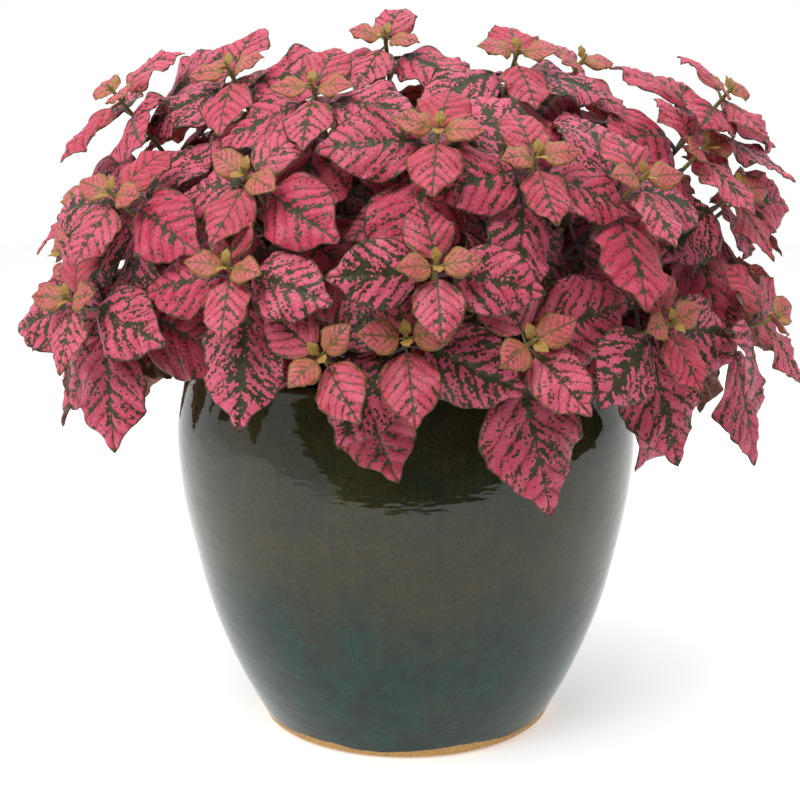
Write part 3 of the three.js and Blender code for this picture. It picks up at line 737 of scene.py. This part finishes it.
def leaf_pose(shoot, rank, half, attempt):
    """How a leaf stands: its base, three directions, length, arch and wave."""
    pair = PAIRS[rank]
    leaf = 2 * rank + half
    give = attempt / ATTEMPTS
    stray = {}
    for use, (name, most) in enumerate(STRAY.items(), 1):
        number = swing(shoot.index, leaf, 16 * attempt + use)
        stray[name] = most * (FIRST_STRAY + give) * number
    point, along, across, radius = shoot.at(pair["from_tip"] * shoot.size)
    around = shoot.turn + math.radians(90 * rank + 180 * half + stray["around"])
    opening = math.radians(pair["opening"] + stray["opening"])
    outward = shoot.side * math.cos(around) + across * math.sin(around)
    stalk_way = outward * math.sin(opening) + along * math.cos(opening)
    face = along * math.sin(opening) - outward * math.cos(opening)
    base = point + outward * radius * STALK_SEAT + stalk_way * pair["stalk"] * shoot.size
    level = math.hypot(stalk_way.x, stalk_way.y)
    axis = Vector((-stalk_way.y, stalk_way.x, 0)) / level
    sag = math.radians(pair["sag"] + stray["sag"]) * level
    hang = Matrix.Rotation(sag, 3, axis)
    forward = hang @ stalk_way
    face = Matrix.Rotation(math.radians(stray["roll"]), 3, forward) @ (hang @ face)
    length = pair["length"] * shoot.size * (1 - SHRINK * give + stray["length"])
    bend = lerp(ARCH_HANGING, ARCH_RISING, (1 + forward.z) / 2) + stray["arch"]
    return {
        "foot": point,
        "stalk_way": stalk_way,
        "base": base,
        "forward": forward,
        "face": face,
        "side": forward.cross(face),
        "length": length,
        "half_width": length * LEAF_SPREAD / 2,
        "arch": math.radians(bend),
        "wave": 1 if draw(shoot.index, leaf, USES["wave"]) < 0.5 else -1,
        "rank": rank,
    }


def leaf_tip(pose):
    turn = pose["arch"]
    run = pose["length"] * math.sin(turn) / turn
    drop = pose["length"] * (1 - math.cos(turn)) / turn
    return pose["base"] + pose["forward"] * run - pose["face"] * drop


NEAR = 0.1
plan = []
worst = 0
for index, place in enumerate(places):
    node_mesh = frame["nodes"][f"leafy_stem_{index + 1:02d}"].data
    tree = KDTree(len(node_mesh.vertices))
    for vertex in node_mesh.vertices:
        tree.insert(vertex.co, vertex.index)
    tree.balance()

    def miss(point):
        """Millimetres from a point of the plan to the solid's nearest corner."""
        return tree.find(point * MM)[2] / MM

    tries = (Shoot(place, index, attempt) for attempt in range(ATTEMPTS))
    shoot = next(tried for tried in tries if miss(tried.root_corner()) < NEAR)
    shoot.leaves = []
    for rank in range(shoot.pairs):
        for half in (0, 1):
            for attempt in range(ATTEMPTS):
                pose = leaf_pose(shoot, rank, half, attempt)
                off = miss(leaf_tip(pose))
                if off < NEAR:
                    worst = max(worst, off)
                    shoot.leaves.append(pose)
                    break
    plan.append(shoot)
grown = sum(len(shoot.leaves) for shoot in plan)
room = sum(2 * shoot.pairs for shoot in plan)
print(grown, "of", room, "leaves found, the worst", round(worst, 4), "mm off its corner")

# %% [markdown]
# ## The leaf blank
#
# A leaf of this plant is egg-shaped with a drawn-out tip. Its midrib and side veins lie in grooves,
# the skin between them puffs up like a quilt, and the margin waves with the veins. A blank is one
# flat leaf with all of that in it, as a thin closed shell: across the leaf it runs from -1 to 1,
# along it from 0 to 1, and its third direction is height as a share of the leaf's length. Each leaf
# could be modelled by itself, but three large blanks, and a plainer one with fewer faces for the
# youngest leaves and the small ones low down, serve them all.

# %% Make the blanks
LEAF_ROWS = 34
BUD_ROWS = 12
LEAF_COLUMNS = (0, 0.1, 0.26, 0.44, 0.62, 0.8, 0.95, 1)
BUD_COLUMNS = (0, 0.35, 0.75, 1)
SIDE_VEINS = 6
VEIN_START = 0.35
VEIN_SLANT = 0.30
VEIN_CURVE = 0.10
PUFF = 0.036
MARGIN_WAVE = 0.05
SMALL_WAVE = 0.55
HALF_SHIFT = (1.3, 2.1)
UNEVEN = 0.02
NOTCH = 0.03
MIDRIB_GROOVE = {"depth": 0.012, "span": 0.07}
MIDRIB_RIDGE = {"depth": 0.02, "span": 0.045}
SKIN = 0.007
TIP_PINCH = {"depth": 0.3, "place": 0.87, "span": 0.07}
ROWS_TO_TIP = 1.15
BLANK_TWISTS = (0.4, 2.1, 4.2)
YOUNG_BLANK = 3
YOUNG_TWIST = 1.2


def outline(u):
    """Half the width at a share u of the length. It is 1 where a leaf is widest, at u = 0.39."""
    return 2.813 * u**0.6 * (1 - u) ** 0.95


def hump(distance, span):
    return math.exp(-((distance / span) ** 2))


def note(mesh, label, kind, numbers, where="POINT"):
    """Stores one number, or one vector's three, for each point or face of a mesh."""
    field = "vector" if kind == "FLOAT_VECTOR" else "value"
    mesh.attributes.new(label, kind, where).data.foreach_set(field, numbers)


def leaf_blank(name, rows, columns, twist):
    """A flat leaf as a thin closed shell. The twist makes one blank's waves differ from another's."""
    across = sorted({-v for v in columns} | set(columns))
    last = len(across) - 1
    points = []
    notes = {"cup": [], "ripple": [], "rim": []}

    def corner(u, v, top):
        drawn = 1 - TIP_PINCH["depth"] * hump(u - TIP_PINCH["place"], TIP_PINCH["span"])
        wide = outline(u) * drawn
        s = v * wide
        vein = SIDE_VEINS * (u - VEIN_SLANT * abs(s) - VEIN_CURVE * s * s) + VEIN_START
        puff = abs(math.sin(math.pi * vein))
        height = PUFF * (puff - 0.5) * min(1, 5 * abs(v)) * (1 - 0.75 * v * v)
        wave = math.sin(math.pi * vein + twist + HALF_SHIFT[0] * (v > 0))
        wave += SMALL_WAVE * math.sin(2 * math.pi * vein + 3 * twist + HALF_SHIFT[1] * (v > 0))
        height += MARGIN_WAVE * abs(v) ** 3 * wave * wide * 0.5
        height += UNEVEN * noise.noise(Vector((2.5 * s, 3.5 * u, 10 * twist)))
        height -= MIDRIB_GROOVE["depth"] * hump(s, MIDRIB_GROOVE["span"])
        if abs(v) == 1:
            height -= SKIN / 2
            s *= 0.98 + NOTCH * puff + NOTCH * noise.noise(Vector((9 * u, v, twist)))
        elif not top:
            height -= SKIN + MIDRIB_RIDGE["depth"] * hump(s, MIDRIB_RIDGE["span"]) * (1 - u)
        points.append((s, u, height))
        notes["cup"].append(v * v * wide)
        sign = (v > 0) - (v < 0)
        notes["ripple"].append(sign * math.cos(2 * math.pi * WAVES * (u - WAVE_START)))
        notes["rim"].append((1 - abs(v)) * wide)
        return len(points) - 1

    tops, bottoms = [], []
    for i in range(rows + 1):
        u = (i / rows) ** ROWS_TO_TIP
        if i in (0, rows):
            pole = corner(u, 0, True)
            tops.append([pole] * (last + 1))
            bottoms.append([pole] * (last + 1))
            continue
        row = [corner(u, v, True) for v in across]
        tops.append(row)
        inner = [corner(u, v, False) for v in across[1:-1]]
        bottoms.append([row[0], *inner, row[-1]])
    faces, under = [], []
    for rings, below in ((tops, 0.0), (bottoms, 1.0)):
        for low, high in zip(rings, rings[1:]):
            for j in range(last):
                corners = [low[j], low[j + 1], high[j + 1], high[j]]
                if below:
                    corners[1], corners[3] = corners[3], corners[1]
                faces.append(list(dict.fromkeys(corners)))
                under.append(below)
    mesh = bpy.data.meshes.new(name)
    mesh.from_pydata(points, [], faces)
    for label, numbers in notes.items():
        note(mesh, label, "FLOAT", numbers)
    note(mesh, "leaf_under", "FLOAT", under, "FACE")
    note(mesh, "blank", "FLOAT_VECTOR", [number for point in points for number in point])
    blanks.objects.link(bpy.data.objects.new(name, mesh))


blanks = bpy.data.collections.new("leaf_blanks")
for number, twist in enumerate(BLANK_TWISTS):
    leaf_blank(f"blank_{number}", LEAF_ROWS, LEAF_COLUMNS, twist)
leaf_blank(f"blank_{YOUNG_BLANK}_young", BUD_ROWS, BUD_COLUMNS, YOUNG_TWIST)

# %% [markdown]
# ## Small leaves down the stems
#
# Under its large leaves a stem keeps a few small ones in the shade, which close the gaps through the
# bush. Leaves scattered by chance would cut through the others, so each of these tries several
# directions, and is left out where it would come near a large leaf's blade, another small leaf, the
# pot or the soil. To measure that, every large blade is put as a coarse grid in one search tree.

# %% Plan the small leaves
SMALL_RANK = len(PAIRS)
SMALL_ROWS = [(64, 30, 9, 72, 8), (80, 27, 8, 68, 4), (98, 24, 7, 64, 2), (118, 21, 6, 60, 0)]
PAIRS += [dict(zip(PAIR_WORDS, row)) for row in SMALL_ROWS]
SMALL_ATTEMPTS = 16
ROOM = 1.5
ROOM_BETWEEN = 11
ROOM_IN_POT = 116
BLADE_ALONG = (0, 0.15, 0.35, 0.55, 0.75, 0.92, 1)
BLADE_ACROSS = (-1, -0.5, 0, 0.5, 1)


def on_blade(pose, u, v):
    """The place on a leaf's blade at a share u of its length and v of its half width."""
    turn = pose["arch"] * u
    radius = pose["length"] / pose["arch"]
    out = v * pose["half_width"] * outline(u)
    lift = -DROOP * abs(v * out)
    ahead = (radius + lift) * math.sin(turn)
    over = lift * math.cos(turn) - radius * (1 - math.cos(turn))
    return pose["base"] + pose["forward"] * ahead + pose["face"] * over + pose["side"] * out


def grid(pose):
    return [on_blade(pose, u, v) for u in BLADE_ALONG for v in BLADE_ACROSS]


def is_clear(spot):
    inside = math.hypot(spot.x, spot.y) < ROOM_IN_POT and spot.z > SOIL_TOP + 2 * ROOM
    return (inside or spot.z > POT_HEIGHT + ROOM) and blades.find_nearest(spot, ROOM)[0] is None


corners, quads = [], []
width = len(BLADE_ACROSS)
for pose in (pose for shoot in plan for pose in shoot.leaves):
    for i in range(len(BLADE_ALONG) - 1):
        first = len(corners) + i * width
        quads += [(j, j + 1, j + width + 1, j + width) for j in range(first, first + width - 1)]
    corners += grid(pose)
blades = BVHTree.FromPolygons(corners, quads)

middles = []
for shoot in plan:
    for rank in range(SMALL_RANK, len(PAIRS)):
        if PAIRS[rank]["from_tip"] * shoot.size > shoot.lengths[-1]:
            break
        for half in (0, 1):
            for attempt in range(SMALL_ATTEMPTS):
                pose = leaf_pose(shoot, rank, half, attempt)
                middle = on_blade(pose, 0.5, 0)
                apart = all((middle - other).length > ROOM_BETWEEN for other in middles)
                if apart and all(is_clear(spot) for spot in grid(pose)):
                    shoot.leaves.append(pose)
                    middles.append(middle)
                    break
print(len(middles), "small leaves have room")

# %% [markdown]
# ## Leaf skin
#
# The upper side is pink, a lack of green in the skin's cells. Dark green shows as ragged blotches
# along the midrib, the side veins and the margin, as a thin edge and as a net of hairlines. Young
# leaves are paler and have little green, and the youngest are gold. The underside is a paler, duller
# rose. A painted image would do for one leaf, but here every leaf is marked by its own veins, so its
# attributes give the place on the leaf in millimetres. The blotches' rags follow small groups of
# cells, so a Voronoi texture of 0.9 mm breaks the leaf into them. Each cell takes one colour from
# what lies at its middle: noise that is stretched along the side veins, the nearness of a vein, the
# leaf's age and how deep in the bush it hangs.


# %% Leaf finish
CELL_SIZE = 0.9
NET_SIZE = 2.8
BUSH_MIDDLE = (0, 0, 0.235)
BUSH_REACH = (0.23, 0.23, 0.19)


def leaf_finish():
    # Leaf skin is soft and waxy: it shines a little where it puffs up, and light goes through it
    material, put, shader, spot = finish("quilted_pink_leaf_skin")
    reads = {"leaf_place": "Vector", "leaf_kind": "Vector", "leaf_under": "Fac", "leaf_rim": "Fac"}
    place, kind, under, rim = (
        put("ShaderNodeAttribute", attribute_name=label).outputs[out] for label, out in reads.items()
    )
    kind = put("ShaderNodeSeparateXYZ", {0: kind}).outputs
    length, age, chance = kind["X"], kind["Y"], kind["Z"]
    offset = put(VECTOR, {0: (97, 61, 0), "Scale": chance}, operation="SCALE")
    moved = put(VECTOR, {0: place, 1: offset}, operation="ADD")
    cells = {"Vector": moved, "Scale": 1 / CELL_SIZE}
    middle = put(CELLS, cells, voronoi_dimensions="2D").outputs["Position"]
    middle = put(VECTOR, {0: middle, 1: offset}, operation="SUBTRACT")

    # Leaves deep in the bush stand in the shade of others, and are greener. They are also made darker
    # there, which is painted shade. This goes by the place in the plant, so it is the same from every
    # side
    spot = put(VECTOR, {0: spot, 1: BUSH_MIDDLE}, operation="SUBTRACT")
    spot = put(VECTOR, {0: spot, 1: BUSH_REACH}, operation="DIVIDE")
    depth = put(VECTOR, {0: spot}, operation="LENGTH").outputs["Value"]
    depth = put(SPAN, {"Value": depth, "From Min": 0.5, "From Max": 0.85, "To Min": 1, "To Max": 0})

    # No side vein is quite straight: each strays by up to 1 mm in bends of 10 mm
    bends = put(NOISE, {"Vector": moved, "Scale": 0.1, "Detail": 1}, noise_dimensions="2D")
    bends = put(MATH, {0: bends, 1: 0.5}, operation="SUBTRACT")

    def veins(point):
        """Millimetres from the midrib, from the nearest side vein and along the row of side veins,
        then the point's own parts and its share of the leaf's length."""
        parts = put("ShaderNodeSeparateXYZ", {0: point}).outputs
        out = put(MATH, {0: parts["X"]}, operation="ABSOLUTE")
        half = put(MATH, {0: length, 1: LEAF_SPREAD / 2}, operation="MULTIPLY")
        s = put(MATH, {0: out, 1: half}, operation="DIVIDE")
        bend = put(MATH, {0: s, 1: VEIN_CURVE, 2: VEIN_SLANT}, operation="MULTIPLY_ADD")
        back = put(MATH, {0: s, 1: bend}, operation="MULTIPLY")
        u = put(MATH, {0: parts["Y"], 1: length}, operation="DIVIDE")
        along = put(MATH, {0: u, 1: back}, operation="SUBTRACT")
        count = put(MATH, {0: along, 1: SIDE_VEINS, 2: VEIN_START}, operation="MULTIPLY_ADD")
        count = put(MATH, {0: bends, 1: 0.5, 2: count}, operation="MULTIPLY_ADD")
        near = put(MATH, {0: count, 1: 0.5}, operation="PINGPONG")
        gap = put(MATH, {0: length, 1: 0.75 / SIDE_VEINS}, operation="MULTIPLY")
        near = put(MATH, {0: near, 1: gap}, operation="MULTIPLY")
        across = put(MATH, {0: count, 1: gap}, operation="MULTIPLY")
        return out, near, across, parts, u

    out, near, across, parts, u = veins(middle)
    stretched = put("ShaderNodeCombineXYZ", {0: parts["X"], 1: across, 2: chance})
    stretched = put(VECTOR, {0: stretched, 1: (0.18, 0.42, 90)}, operation="MULTIPLY")
    blotch = put(NOISE, {"Vector": stretched, "Scale": 1, "Detail": 2.5})
    small = put(VECTOR, {0: middle, 1: offset}, operation="ADD")
    speckle = put(NOISE, {"Vector": small, "Scale": 0.55, "Detail": 2}, noise_dimensions="2D")
    score = put(MATH, {0: speckle, 1: 0.5, 2: -0.25}, operation="MULTIPLY_ADD")
    score = put(MATH, {0: score, 1: blotch}, operation="ADD")
    # What else makes a cell greener: a measure, the two ends of its span, and what each end adds
    greener = [(out, 0.5, 4, 0.15, 0), (near, 0, 1.4, 0.13, 0), (rim, 0, 2.5, 0.07, 0)]
    greener += [(u, 0.7, 0.9, 0, -0.16), (age, 0, 3, -0.3, 0), (chance, 0, 1, -0.06, 0.06)]
    for value, *ends in [*greener, (depth, 0, 1, 0, 0.09)]:
        added = put(SPAN, {"Value": value} | dict(zip(ENDS, ends)))
        score = put(MATH, {0: score, 1: added}, operation="ADD")
    green = put(SPAN, {"Value": score, "From Min": 0.588, "From Max": 0.603})

    # Hairlines: the midrib, the side veins, the net of small veins and the green edge of the margin
    net = {"Vector": moved, "Scale": 1 / NET_SIZE}
    net = put(CELLS, net, voronoi_dimensions="2D", feature="DISTANCE_TO_EDGE").outputs["Distance"]
    web = put(SPAN, {"Value": net, "From Max": 0.1, "To Min": 0.4, "To Max": 0})
    out, near, _, parts, _ = veins(place)
    midrib = put(SPAN, {"Value": out, "From Min": 0.35, "From Max": 0.8, "To Min": 0.85, "To Max": 0})
    frayed = put(MATH, {0: speckle, 1: -1.6, 2: near}, operation="MULTIPLY_ADD")
    side = put(SPAN, {"Value": frayed, "From Min": -0.65, "From Max": -0.3, "To Min": 0.8, "To Max": 0})
    ragged = put(MATH, {0: speckle, 1: -1.6, 2: rim}, operation="MULTIPLY_ADD")
    edge = put(SPAN, {"Value": ragged, "From Min": -0.25, "From Max": 0.4, "To Min": 0.9, "To Max": 0})
    for part in (midrib, side, edge, web):
        green = put(MATH, {0: green, 1: part}, operation="MAXIMUM")

    # Pink differs from leaf to leaf and in soft clouds of 8 mm. It is painted lighter on the puffs
    # between the veins and deeper by the veins, as painted light and shade on the quilting
    clouds = put(NOISE, {"Vector": moved, "Scale": 0.12, "Detail": 2}, noise_dimensions="2D")
    share = put(MATH, {0: clouds, 1: chance}, operation="ADD")
    share = put(SPAN, {"Value": share, "From Min": 0.5, "From Max": 1.5})
    painted_puff_light = put(SPAN, {"Value": near, "From Max": 2.5, "To Min": -0.25, "To Max": 0.25})
    share = put(MATH, {0: share, 1: painted_puff_light}, operation="ADD", use_clamp=True)
    # Painted shade: the pink is darkened for leaves deep in the bush
    painted_shade_pink = put(MATH, {0: depth, 1: 0.65}, operation="MULTIPLY")
    youth = put(SPAN, {"Value": age, "From Min": 0.8, "From Max": 2.3, "To Min": 1, "To Max": 0})
    pink = "#c02e4f"
    for share, tone in ((share, "#dc6280"), (painted_shade_pink, "#7c1c30"), (youth, "#d65a6c")):
        pink = put(BLEND, {"Factor": share, "A": pink, "B": tone}, data_type="RGBA")
    dark = put(BLEND, {"Factor": clouds, "A": "#282814", "B": "#474627"}, data_type="RGBA")
    olive = put(MATH, {0: youth, 1: 0.7}, operation="MULTIPLY")
    dark = put(BLEND, {"Factor": olive, "A": dark, "B": "#6b5030"}, data_type="RGBA")

    # Young leaves are yellow green by their stalk and margin, and the buds are gold
    low = put(SPAN, {"Value": parts["Y"], "From Max": 16, "To Min": 0.65, "To Max": 0})
    fringe = put(SPAN, {"Value": rim, "From Max": 3, "To Min": 0.55, "To Max": 0})
    gold = put(MATH, {0: low, 1: fringe}, operation="ADD")
    bud = put(SPAN, {"Value": age, "From Min": 0.2, "From Max": 1, "To Min": 0.8, "To Max": 0})
    gold = put(MATH, {0: gold, 1: youth, 2: bud}, operation="MULTIPLY_ADD", use_clamp=True)

    # Over the pink lie the green, the gold, a painted shade that darkens leaves deep in the bush, and
    # then the underside
    painted_bush_shade = put(SPAN, {"Value": depth, "From Min": 0.25, "From Max": 0.8, "To Max": 0.4})
    pale = put(BLEND, {"Factor": green, "A": "#c07d74", "B": "#5b5632"}, data_type="RGBA")
    skin = pink
    for share, tone in ((green, dark), (gold, "#9f803c"), (painted_bush_shade, "#1c0e0c"), (under, pale)):
        skin = put(BLEND, {"Factor": share, "A": skin, "B": tone}, data_type="RGBA")

    # The skin puffs up in each mesh of the net
    fine = put(SPAN, {"Value": net, "From Max": 0.4}, interpolation_type="SMOOTHSTEP")
    bump = put("ShaderNodeBump", {"Height": fine, "Strength": 0.35, "Distance": 0.5 * MM})
    values = {"Roughness": 0.48, "Specular IOR Level": 0.35, "Subsurface Weight": 0.3}
    values |= {"Subsurface Radius": (1, 0.45, 0.35), "Subsurface Scale": 0.8 * MM}
    wear(material, shader, skin, bump, values)
    return material


def stem_finish():
    # A living stem has a waxy skin that shines softly, green near the tip and purple where it is ripe
    material, put, shader, place = finish("purple_green_stem")
    ripe = put("ShaderNodeAttribute", attribute_name="stem_ripe").outputs["Fac"]
    lumps = put(NOISE, {"Vector": place, "Scale": 220, "Detail": 2})
    share = put(MATH, {0: lumps, 1: 0.5, 2: -0.25}, operation="MULTIPLY_ADD")
    share = put(MATH, {0: ripe, 1: share}, operation="ADD", use_clamp=True)
    tone = put(BLEND, {"Factor": share, "A": "#8d8a45", "B": "#4a2a34"}, data_type="RGBA")
    bump = put("ShaderNodeBump", {"Height": lumps, "Strength": 0.2, "Distance": 0.4 * MM})
    wear(material, shader, tone, bump, {"Roughness": 0.45})
    return material


leaf_skin = leaf_finish()
stem_skin = stem_finish()
for made in (leaf_skin, stem_skin):
    print(made.name, len(made.node_tree.nodes), "nodes")

# %% [markdown]
# ## Grow the leafy stems
#
# A stem with its stalks and leaves is one plan of points and lines: lines for the stem and the leaf
# stalks, and a lone point for each leaf, with its directions, length and arch as attributes. There
# are 45 stems and some 800 leaves, so one Geometry Nodes tree grows them all. It wraps the lines in
# tubes, puts a blank on each point, bends it round an arc along its midrib, lifts and droops its
# margin, and stands it in its place.

# %% The tree that grows a leafy stem
STEM_SIDES = 8
DIRECTIONS = ("forward", "face", "side")
SIZES = ("length", "half_width", "arch", "wave")
NOTED = {name: "FLOAT_VECTOR" for name in ("base", "blank", *DIRECTIONS)}
NOTED |= {name: "FLOAT" for name in ("girth", "cup", "ripple", "rim", *SIZES)}
NOTED |= {"is_leaf": "BOOLEAN", "pattern": "INT"}


def stem_tree():
    kinds = {"Blanks": "Collection", "Stem sides": "Int"}
    kinds |= {"Leaf finish": "Material", "Stem finish": "Material"}
    tree, names, put = new_tree("leafy_stem", kinds)
    start = put("NodeGroupInput").outputs
    keep = "GeometryNodeStoreNamedAttribute"
    read = "GeometryNodeInputNamedAttribute"
    noted = {name: put(read, {"Name": name}, data_type=kind) for name, kind in NOTED.items()}
    parts = {0: start["Geometry"], "Selection": noted["is_leaf"]}
    parts = put("GeometryNodeSeparateGeometry", parts)

    lines = put("GeometryNodeMeshToCurve", {0: parts.outputs["Inverted"]})
    lines = put("GeometryNodeSetCurveRadius", {0: lines, "Radius": noted["girth"]})
    section = {"Resolution": start["Stem sides"], "Radius": 1}
    section = put("GeometryNodeCurvePrimitiveCircle", section)
    tube = {"Curve": lines, "Profile Curve": section, "Fill Caps": True, "Scale": noted["girth"]}
    tubes = put("GeometryNodeCurveToMesh", tube)
    tubes = put("GeometryNodeSetMaterial", {0: tubes, "Material": start["Stem finish"]})

    blank = {0: start["Blanks"], "Separate Children": True}
    blank = put("GeometryNodeCollectionInfo", blank)
    placed = {"Points": parts.outputs["Selection"], "Instance": blank, "Pick Instance": True}
    placed = put("GeometryNodeInstanceOnPoints", placed | {"Instance Index": noted["pattern"]})
    leaves = put("GeometryNodeRealizeInstances", {0: placed})

    flat = put("ShaderNodeSeparateXYZ", {0: noted["blank"]}).outputs
    length, half_width, arch, wave = (noted[name] for name in SIZES)
    turn = put(MATH, {0: arch, 1: flat["Y"]}, operation="MULTIPLY")
    sine = put(MATH, {0: turn}, operation="SINE")
    cosine = put(MATH, {0: turn}, operation="COSINE")
    radius = put(MATH, {0: length, 1: arch}, operation="DIVIDE")
    run = put(MATH, {0: radius, 1: sine}, operation="MULTIPLY")
    drop = put(MATH, {0: 1, 1: cosine}, operation="SUBTRACT")
    drop = put(MATH, {0: radius, 1: drop}, operation="MULTIPLY")
    width = put(MATH, {0: half_width, 1: flat["X"]}, operation="MULTIPLY")

    ripple = put(MATH, {0: noted["ripple"], 1: wave}, operation="MULTIPLY")
    ripple = put(MATH, {0: ripple, 1: WAVE_HEIGHT, 2: -DROOP}, operation="MULTIPLY_ADD")
    cup = put(MATH, {0: noted["cup"], 1: half_width}, operation="MULTIPLY")
    relief = put(MATH, {0: flat["Z"], 1: length}, operation="MULTIPLY")
    lift = put(MATH, {0: cup, 1: ripple, 2: relief}, operation="MULTIPLY_ADD")

    # How far a point goes along the stalk's direction, the face's and the side's
    ahead = put(MATH, {0: lift, 1: sine, 2: run}, operation="MULTIPLY_ADD")
    over = put(MATH, {0: lift, 1: cosine}, operation="MULTIPLY")
    over = put(MATH, {0: over, 1: drop}, operation="SUBTRACT")
    place = noted["base"]
    for name, amount in zip(DIRECTIONS, (ahead, over, width)):
        step = put(VECTOR, {0: noted[name], "Scale": amount}, operation="SCALE")
        place = put(VECTOR, {0: place, 1: step}, operation="ADD")
    leaves = put("GeometryNodeSetPosition", {0: leaves, "Position": place})

    # What the leaf finish reads: the place on the leaf and the distance from its margin
    along = put(MATH, {0: flat["Y"], 1: length}, operation="MULTIPLY")
    spot = put("ShaderNodeCombineXYZ", {0: width, 1: along})
    spot = put(VECTOR, {0: spot, "Scale": 1 / MM}, operation="SCALE")
    stored = {0: leaves, "Name": "leaf_place", "Value": spot}
    leaves = put(keep, stored, data_type="FLOAT_VECTOR")
    rim = put(MATH, {0: noted["rim"], 1: half_width}, operation="MULTIPLY")
    rim = put(MATH, {0: rim, 1: 1 / MM}, operation="MULTIPLY")
    leaves = put(keep, {0: leaves, "Name": "leaf_rim", "Value": rim}, data_type="FLOAT")
    leaves = put("GeometryNodeSetMaterial", {0: leaves, "Material": start["Leaf finish"]})

    whole = put("GeometryNodeJoinGeometry", {0: tubes})
    tree.links.new(leaves.outputs[0], whole.inputs[0])
    whole = put("GeometryNodeSetShadeSmooth", {0: put("GeometryNodeRealizeInstances", {0: whole})})
    put("NodeGroupOutput", {0: whole})
    return tree, names


leafy_stem, names = stem_tree()
print(leafy_stem.name, len(leafy_stem.nodes), "nodes")

# %% [markdown]
# A stalk leaves the stem at a slant, and bends over into the blade, so its line is a short curve from
# the stem to a little way along the midrib. The plan's numbers are turned to metres here. Leaves get
# one of the three large blanks by chance, and the youngest and the small ones get the plain one.

# %% Grow them
STEM_STEPS = 40
STEM_END = 3
STEM_END_RADIUS = 0.3
STALK_STEPS = 7
STALK_KNEE = 0.6
STALK_ALONG = 0.06
STALK_UNDER = 0.006
STALK_RADII = (0.35, 1.15)
STALK_TAPER = (1.15, 0.75)
SPENT = ("base", "blank", "cup", "ripple", "rim", "is_leaf", "girth", "pattern")
SPENT += DIRECTIONS + SIZES


def line(plan_points, points, edges):
    """Adds a line of points and the edges between them."""
    first = len(points)
    points.extend(plan_points)
    edges.extend((i, i + 1) for i in range(first, len(points) - 1))


def stem_plan(shoot):
    """Points, lines and attributes of one leafy stem, in metres."""
    points, edges = [], []
    girth, ripe = [], []
    whole = shoot.lengths[-1]
    root = shoot.at(whole)[0]
    route = [Vector((root.x, root.y, SOIL_TOP - HOLE_DEPTH + 0.5)), Vector((root.x, root.y, SOIL_TOP))]
    route += [shoot.at(whole * (1 - i / STEM_STEPS))[0] for i in range(STEM_STEPS + 1)]
    tip, along, _, _ = shoot.at(0)
    route.append(tip + along * STEM_END)
    line(route, points, edges)
    girth += [lerp(ROOT_RADIUS, TIP_RADIUS, i / len(route)) for i in range(len(route) - 1)]
    girth.append(STEM_END_RADIUS)
    ripe += [clamp(3 * (1 - i / len(route))) for i in range(len(route))]
    for pose in shoot.leaves:
        knee = pose["foot"] + pose["stalk_way"] * (pose["base"] - pose["foot"]).length * STALK_KNEE
        end = pose["base"] + pose["forward"] * STALK_ALONG * pose["length"]
        end -= pose["face"] * STALK_UNDER * pose["length"]
        route = []
        for i in range(STALK_STEPS + 1):
            t = i / STALK_STEPS
            route.append(pose["foot"] * (1 - t) ** 2 + knee * 2 * t * (1 - t) + end * t * t)
        line(route, points, edges)
        thick = lerp(*STALK_RADII, clamp(pose["rank"] / 4))
        girth += [thick * lerp(*STALK_TAPER, i / STALK_STEPS) for i in range(STALK_STEPS + 1)]
        ripe += [clamp(pose["rank"] / 3)] * (STALK_STEPS + 1)
    lines = len(points)
    points += [pose["base"] for pose in shoot.leaves]
    mesh = bpy.data.meshes.new("plan")
    mesh.from_pydata([point * MM for point in points], edges, [])

    leaves = shoot.leaves
    note(mesh, "is_leaf", "BOOLEAN", [False] * lines + [True] * len(leaves))
    note(mesh, "girth", "FLOAT", [size * MM for size in girth] + [0] * len(leaves))
    note(mesh, "stem_ripe", "FLOAT", ripe + [0] * len(leaves))
    for name in ("base", *DIRECTIONS):
        scale = MM if name == "base" else 1
        rows = [(0, 0, 0)] * lines + [pose[name] * scale for pose in leaves]
        note(mesh, name, "FLOAT_VECTOR", [number for row in rows for number in row])
    for name in SIZES:
        scale = MM if name in ("length", "half_width") else 1
        note(mesh, name, "FLOAT", [1] * lines + [pose[name] * scale for pose in leaves])
    kinds, patterns = [], []
    for number, pose in enumerate(leaves):
        chance = draw(shoot.index, number, 950)
        kinds += [pose["length"], pose["rank"], chance]
        plain = pose["rank"] < 2 or pose["rank"] >= SMALL_RANK
        patterns.append(YOUNG_BLANK if plain else int(YOUNG_BLANK * draw(shoot.index, number, 951)))
    note(mesh, "leaf_kind", "FLOAT_VECTOR", [0] * 3 * lines + kinds)
    note(mesh, "pattern", "INT", [0] * lines + patterns)
    return mesh


faces = 0
for shoot in plan:
    name = f"leafy_stem_{shoot.index + 1:02d}"
    made = bpy.data.objects.new(f"foliage_{shoot.index + 1:02d}", stem_plan(shoot))
    scene.collection.objects.link(made)
    inputs = {"Blanks": blanks, "Stem sides": STEM_SIDES}
    inputs |= {"Leaf finish": leaf_skin, "Stem finish": stem_skin}
    grow(made, leafy_stem, names, inputs)
    for label in SPENT:
        if label in made.data.attributes:
            made.data.attributes.remove(made.data.attributes[label])
    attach(made, "root")
    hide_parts(name)
    faces += len(made.data.polygons)
for made in list(blanks.objects):
    bpy.data.objects.remove(made)
bpy.data.collections.remove(blanks)
print("foliage faces", faces)

# %% [markdown]
# ## Measure and finish
#
# Both boxes are kept, and the finished plant's box is printed, to set beside the solids' box that
# was printed at the start. The finished plant has to stay in the solids' box, apart from a few
# millimetres.

# %% Measure and finish
sizes = {"cad": [list(point) for point in cad_box], "visual": [list(point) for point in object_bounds()]}
print("visual box", [round(number, 3) for point in sizes["visual"] for number in point])
